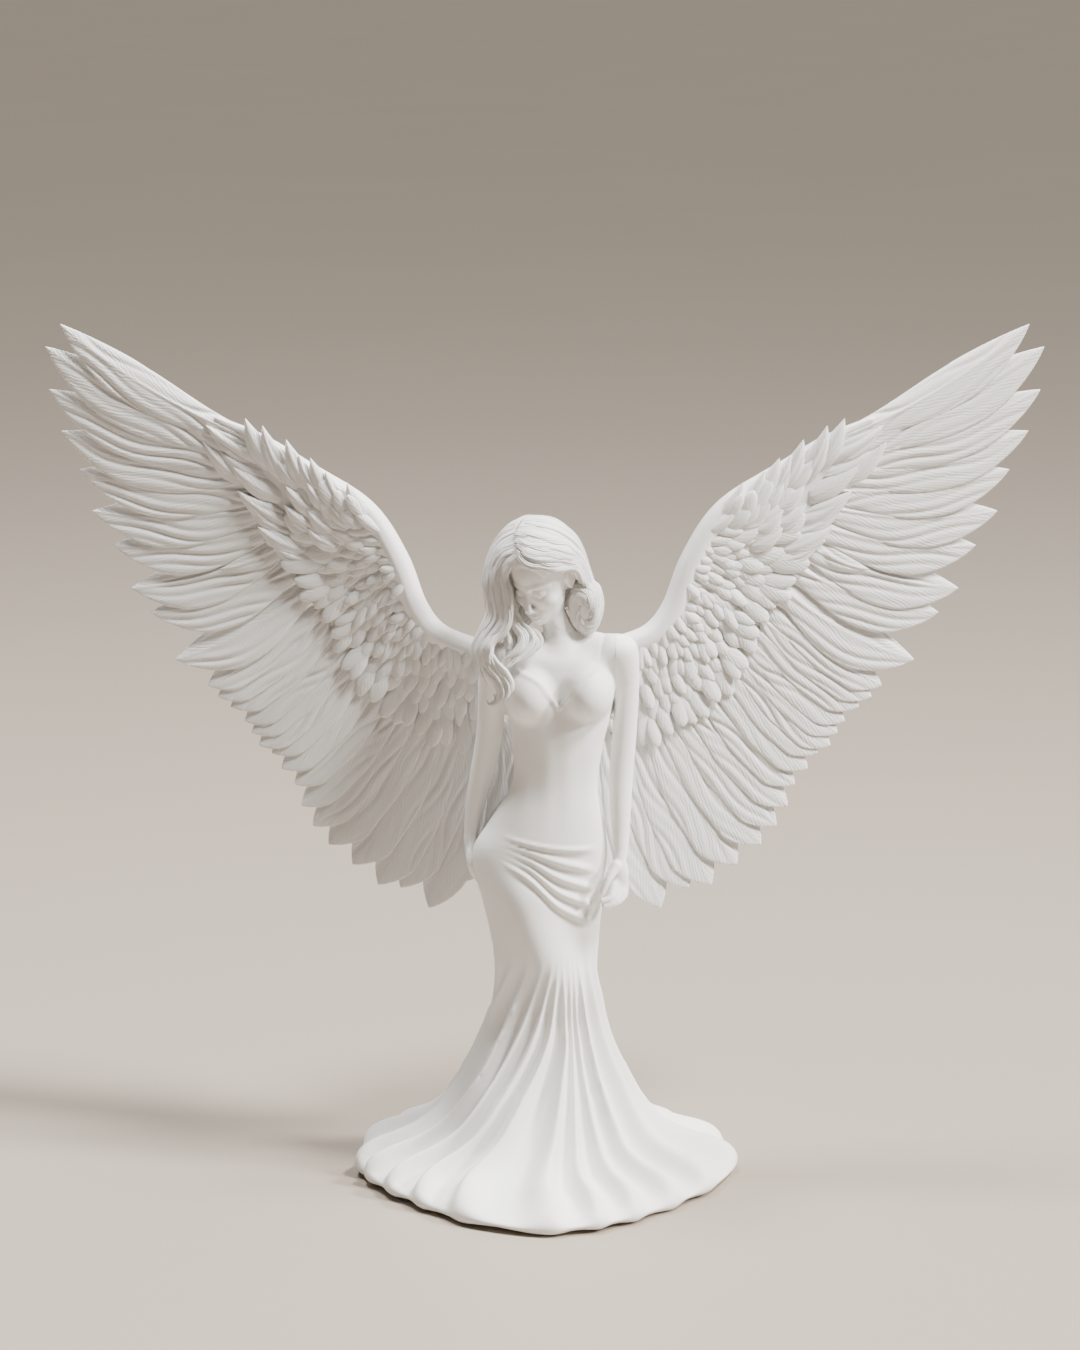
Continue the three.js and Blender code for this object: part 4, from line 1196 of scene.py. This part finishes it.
rightGuides = [
    [(-9.4, -12.4, 223.2), (-12.8, -10.8, 219.2), (-13.9, -9.8, 215), (-13.2, -10, 210.6),
     (-12.4, -10.4, 205.6), (-12.7, -10.4, 200.8), (-14.6, -11, 196.4), (-18.2, -11.6, 192.8),
     (-18.9, -12.2, 187.8), (-15.8, -12.8, 184), (-12.4, -13.2, 181.2), (-12, -13.2, 178)],
    [(-9.5, -10.5, 225.2), (-14.4, -8.4, 221.6), (-16.8, -7.4, 216.2), (-16.7, -7.7, 210.8),
     (-15.7, -8.4, 205.4), (-15.6, -8.8, 200.4), (-18.4, -9.9, 195.4), (-21.6, -10.4, 191),
     (-22, -10.8, 186), (-19.9, -11.4, 181), (-17.6, -11.9, 176.6), (-17.4, -11.8, 173.4)],
    [(-9.8, -6.8, 228.4), (-15.6, -4.8, 224.2), (-18.9, -3.8, 217.6), (-19.8, -3.8, 211.4),
     (-18.6, -4.4, 205.8), (-18.3, -4.9, 200.8), (-21.2, -6, 195.8), (-23.8, -6.6, 190.8),
     (-23.8, -7.4, 185.4), (-21.4, -8.6, 180.2), (-20, -9.4, 175.8)],
    [(-8.9, -2, 231.4), (-14.6, -0.4, 227.4), (-18.5, 0.6, 220.4), (-20, 0.9, 212.8),
     (-19.5, 0.6, 206.4), (-19, 0, 200.6), (-21.4, -1, 195.4), (-23.4, -1.8, 190), (-22.8, -2.8, 184.2),
     (-20.6, -4, 178.4)],
    [(-7.4, 2.4, 232.9), (-13, 4.4, 228.9), (-16.7, 6.2, 221.8), (-18.2, 7.2, 213.8), (-18, 7.2, 205.8),
     (-18.2, 6.4, 198.8), (-19.6, 5.2, 192.4), (-19.6, 4, 185.8), (-18, 3, 180.4)],
    [(-5.2, 6.2, 233.2), (-10, 9.2, 228.8), (-13, 12.2, 221.2), (-14, 13.6, 212.8),
     (-13.8, 13.4, 204.8), (-14.4, 12.4, 197), (-16.2, 10.6, 190), (-16.4, 9, 183.6)],
    [(-3.2, 9, 232.2), (-5.4, 12.6, 228.2), (-6.8, 15.4, 220.8), (-6.8, 16.8, 212.6),
     (-7.2, 16.2, 204.4), (-9.4, 14.8, 197), (-13.2, 12.6, 190.2), (-15.6, 10.4, 184.4)],
]
innerGuides = [
    [(-12.9, -6.4, 211), (-12.9, -6.6, 206), (-12.5, -7.2, 201.6), (-10.8, -8.4, 198),
     (-8.4, -9.6, 195), (-9.2, -11, 191.6), (-12.4, -11.8, 188.6), (-15.2, -12.4, 185.8),
     (-15, -13, 182.6)],
    [(-12, -5.2, 209.6), (-11, -5, 205.4), (-9.8, -5, 201.6), (-7, -5.4, 198), (-2.8, -7.2, 195),
     (-1.2, -8.6, 192.2), (-4, -10.2, 188.8), (-9, -12.2, 185.4), (-12.6, -13, 182.6)],
]
# shorter strands that close the view behind the ear and under the long locks
earGuides = [
    [(11.2, -4.4, 215.6), (12, -2.4, 212.8), (12.2, -0.4, 209.6), (12.4, 0.4, 206)],
    [(11.8, -2, 216), (13.2, -0.4, 212.6), (13.6, 1.2, 209), (13.6, 1.6, 205.6)],
]
backGuides = [
    [(-13.6, -5.2, 212), (-14, -5, 206), (-14, -5, 201), (-13.6, -6.4, 196.6), (-12.8, -8.6, 192.4),
     (-12.8, -9.8, 188.4), (-13.6, -10.6, 184.6)],
    [(-12.6, -2.6, 210), (-12.2, -2.6, 205), (-11.4, -3, 200.6), (-9.8, -4.4, 196.4),
     (-8.8, -6.8, 192.6), (-10.4, -9.2, 188.6), (-12.4, -10.8, 184.8)],
]
tipGuides = [
    [(-18.6, -12, 189.4), (-16.4, -12.8, 185.2), (-13.4, -13.4, 182.2), (-11.6, -13.6, 179),
     (-12.4, -13.4, 175.8), (-15, -12.8, 173.8), (-16.8, -12, 175.4)],
    [(-21.6, -10.8, 187), (-20.2, -11.4, 182.6), (-17.4, -12.2, 179), (-15.8, -12.6, 175.4),
     (-17, -12, 171.8), (-19.6, -11, 171.4), (-20, -10.6, 173.6)],
]
curl = {"centre": (14.0, 0.7, 203.4), "radii": (5.0, 6.0, 8.4), "facing": (-0.12, -0.97, -0.2), "count": 16,
        "turn": 215}


def hairCapField(p):
    q = (p - np.array(head["centre"], float)) @ headAxes
    shape = egg(q, *hair["cap"])
    for window in hair["windows"]:
        shape = softMax(shape, -egg(q, *window), 1.2)
    return shape


def addStrand(pile, path, halfWidth, thickness, steps, seed, middle=(-1.5, 0.5, 212)):
    # a flattened lock of hair, thin at both ends, lying flat against the head
    rng = np.random.default_rng(seed)
    centre = evenly(path, steps)
    share = np.linspace(0, 1, steps)
    tangent = unit(np.gradient(centre, axis=0))
    heart = np.array(middle, float)
    heart = np.tile(heart, (steps, 1))
    heart[:, 2] = np.minimum(centre[:, 2], heart[:, 2])
    out = centre - heart
    out = unit(out - tangent * (out * tangent).sum(1, keepdims=True))
    across = np.cross(tangent, out)
    run = share * np.linalg.norm(np.diff(centre, axis=0), axis=1).sum()
    sway = 0.35 * np.sin(run * 2 * math.pi / rng.uniform(11, 17) + rng.uniform(0, 6))
    centre = centre + across * sway[:, None]
    taper = (smoothStep(-0.2, 0.1, share) * (1 - 0.93 * smoothStep(0.72, 1.0, share)))[:, None]
    turn = np.linspace(0, 2 * math.pi, 12, endpoint=False)[None, :]
    twist = 0.25 * np.sin(run / 9 + rng.uniform(0, 6))[:, None]
    flat = 1 + 0.1 * np.cos(3 * turn + rng.uniform(0, 6) + run[:, None] * 0.15)
    a = halfWidth * taper * flat * np.cos(turn)
    b = thickness * taper ** 0.7 * flat * np.sin(turn)
    sideways = across * np.cos(twist) + out * np.sin(twist)
    upward = out * np.cos(twist) - across * np.sin(twist)
    rings = centre[:, None] + sideways[:, None] * a[..., None] + upward[:, None] * b[..., None]
    marks = np.stack([a, run[:, None] + 0 * a, np.full_like(a, rng.uniform(0, 1))], -1)
    pile.add(rings, marks)


def strandsBetween(pile, guides, count, seed, halfWidth, thickness, steps, spread):
    rng = np.random.default_rng(seed)
    share = np.linspace(0, 1, 24)
    lines = np.stack([evenly(guide, 24) for guide in guides])
    for place in np.linspace(0, len(guides) - 1, count):
        place = float(np.clip(place + rng.uniform(-0.15, 0.15), 0, len(guides) - 1))
        # a smooth blend across neighbouring guides
        between = place / (len(guides) - 1)
        path = np.stack([curveThrough(lines[:, k], between)[0] for k in range(len(share))])
        path += rng.normal(0, spread, 3) * np.array([1, 1, 0.3]) * share[:, None]
        reach = rng.uniform(0.86, 1.0)
        path = curveThrough(path, share * reach)
        wide = halfWidth * rng.uniform(0.75, 1.2)
        thick = thickness * rng.uniform(0.85, 1.15)
        addStrand(pile, path, wide, thick, steps, int(rng.integers(1 << 30)))


def curlStrands(pile):
    # a rolled lock: strands run from behind over its rim and wind into the eye of the curl
    rng = np.random.default_rng(31)
    centre, radii = np.array(curl["centre"]), np.array(curl["radii"])
    facing = unit(curl["facing"])
    across = unit(np.cross((0, 0, 1), facing))
    upward = np.cross(facing, across)
    t = np.linspace(0, 1, 26)
    for k in range(curl["count"]):
        polar = np.radians(150 - 140 * t ** 0.85)[:, None]
        angle = np.radians(360 * k / curl["count"] + rng.uniform(-5, 5) - curl["turn"] * t ** 1.6)[:, None]
        around = across * np.cos(angle) + upward * np.sin(angle)
        sink = (1 - 0.16 * smoothStep(0.8, 1, t))[:, None] * rng.uniform(0.97, 1.04)
        path = centre + radii * (facing * np.cos(polar) + around * np.sin(polar)) * sink
        wide = 2.0 * rng.uniform(0.85, 1.2)
        addStrand(pile, path, wide, hair["thickness"], 56, int(rng.integers(1 << 30)), centre)
    core, faces = skinOf(lambda p: egg(p, centre, radii - 0.2), centre - radii - 1, centre + radii + 1, 0.7)
    pile.addFaces(core, faces)


# for each piece of hair: guides, how many strands, seed, half width, thickness, rings, scatter
strandSets = {
    "hair_crown": [
        (leftGuides, 40, 41, hair["halfWidth"], hair["thickness"], 64, 0.35),
        ([leftGuides[-1], rightGuides[-1]], 7, 47, hair["halfWidth"], hair["thickness"], 64, 0.2)],
    "hair_long_locks": [
        (rightGuides, 34, 42, hair["halfWidth"], hair["thickness"], 88, 0.35),
        (innerGuides, 7, 43, 1.6, 1.0, 60, 0.35), (backGuides, 7, 45, 1.9, 1.2, 50, 0.35),
        (tipGuides, 6, 44, 1.3, 0.9, 50, 0.35)],
    "hair_ear_curl": [(earGuides, 5, 46, 1.6, 1.1, 30, 0.15)],
}
hairNodes = {"hair_crown": "hair_crown", "hair_long_locks": "hair_right_locks",
             "hair_ear_curl": "hair_left_curl"}


def makeHair():
    for name, sets in strandSets.items():
        pile = Pile()
        if name == "hair_ear_curl":
            curlStrands(pile)
        for strands in sets:
            strandsBetween(pile, *strands)
        if name == "hair_crown":
            pile.addFaces(*skinOf(hairCapField, *hair["capBox"], hair["capCell"]))
        makePiece(name, np.vstack(pile.points), pile.faces, hairStone, [hairNodes[name]],
                  np.vstack(pile.marks))


def makeBody():
    cloth = Pile()
    cloth.add(gownPoints())
    makePiece("gown", np.vstack(cloth.points), cloth.faces, castStone, ["gown_casting"])
    for name in arms:
        points, faces = skinOf(lambda p: armField(p, name), *armBoxes[name], armCell)
        makePiece(name + "_arm_and_hand", points, faces, castStone, [name + "_arm"])
    points, faces = skinOf(headAndNeck, *head["box"], head["cellSize"])
    makePiece("head_and_neck", points, faces, castStone, ["head"])


makeBody()
print("body ready")
makeHair()
print("hair ready")


# stage, lights and camera

studio = {
    "floorColor": (0.34, 0.29, 0.24), "floorRough": 0.6, "floorReach": 70.0,
    "worldLight": 0.055, "worldColor": (1.0, 0.98, 0.96), "lampTarget": (0, 0, 0.16),
    # place, size, power and color of each lamp; the far one is a sun, its size in degrees
    "lamps": {
        "farLamp": ("SUN", (1.0, -0.2, 0.88), 8.0, 5.4, (1.0, 0.97, 0.93)),
        "keyLamp": ("AREA", (0.75, -0.3, 1.35), 0.25, 44.0, (1.0, 0.985, 0.96)),
        "fillLamp": ("AREA", (-1.4, -1.3, 0.5), 1.4, 0.7, (0.93, 0.96, 1.0)),
        "topLamp": ("AREA", (-0.3, 0.2, 1.5), 0.4, 38.0, (1.0, 0.99, 0.97)),
    },
}
view = {"target": (-0.0017, 0.0, 0.179), "distance": 1.27, "pitch": math.radians(12), "lens": 98.13}


def makeStage():
    mesh = bpy.data.meshes.new("floor")
    reach = studio["floorReach"]
    mesh.from_pydata([(-reach, -reach, 0), (reach, -reach, 0), (reach, reach, 0), (-reach, reach, 0)], [],
                     [(0, 1, 2, 3)])
    floor = bpy.data.objects.new("floor", mesh)
    bpy.context.scene.collection.objects.link(floor)
    material, tree, surface = newMaterial("paleFloor")
    cloud = noiseNode(tree, objectPlace(tree), 3.0, 3.0)
    pale = (*studio["floorColor"], 1)
    paler = (*[part * 1.06 for part in studio["floorColor"]], 1)
    tree.links.new(mixNode(tree, cloud, pale, paler), surface.inputs["Base Color"])
    surface.inputs["Roughness"].default_value = studio["floorRough"]
    mesh.materials.append(material)


def makeLights():
    world = bpy.data.worlds.new("studioWorld")
    world.use_nodes = True
    sky = world.node_tree.nodes["Background"].inputs
    sky["Color"].default_value = (*studio["worldColor"], 1)
    sky["Strength"].default_value = studio["worldLight"]
    bpy.context.scene.world = world
    for name, (kind, place, size, power, color) in studio["lamps"].items():
        light = bpy.data.lights.new(name, kind)
        if kind == "SUN":
            light.angle = math.radians(size)
        else:
            light.shape = "DISK"
            light.size = size
        light.energy = power
        light.color = color
        lamp = bpy.data.objects.new(name, light)
        bpy.context.scene.collection.objects.link(lamp)
        lamp.location = place
        aim = Vector(studio["lampTarget"]) - lamp.location
        lamp.rotation_euler = aim.to_track_quat("-Z", "Y").to_euler()


def makeCamera():
    lens = bpy.data.cameras.new("camera")
    lens.sensor_fit = "VERTICAL"
    lens.sensor_height = 36
    lens.lens = view["lens"]
    lens.clip_start = 0.05
    lens.clip_end = 300
    camera = bpy.data.objects.new("camera", lens)
    bpy.context.scene.collection.objects.link(camera)
    x, y, z = view["target"]
    pitch = view["pitch"]
    camera.location = (x, y - view["distance"] * math.cos(pitch), z + view["distance"] * math.sin(pitch))
    camera.rotation_euler = (math.pi / 2 - pitch, 0, 0)
    bpy.context.scene.camera = camera


makeStage()
makeLights()
makeCamera()
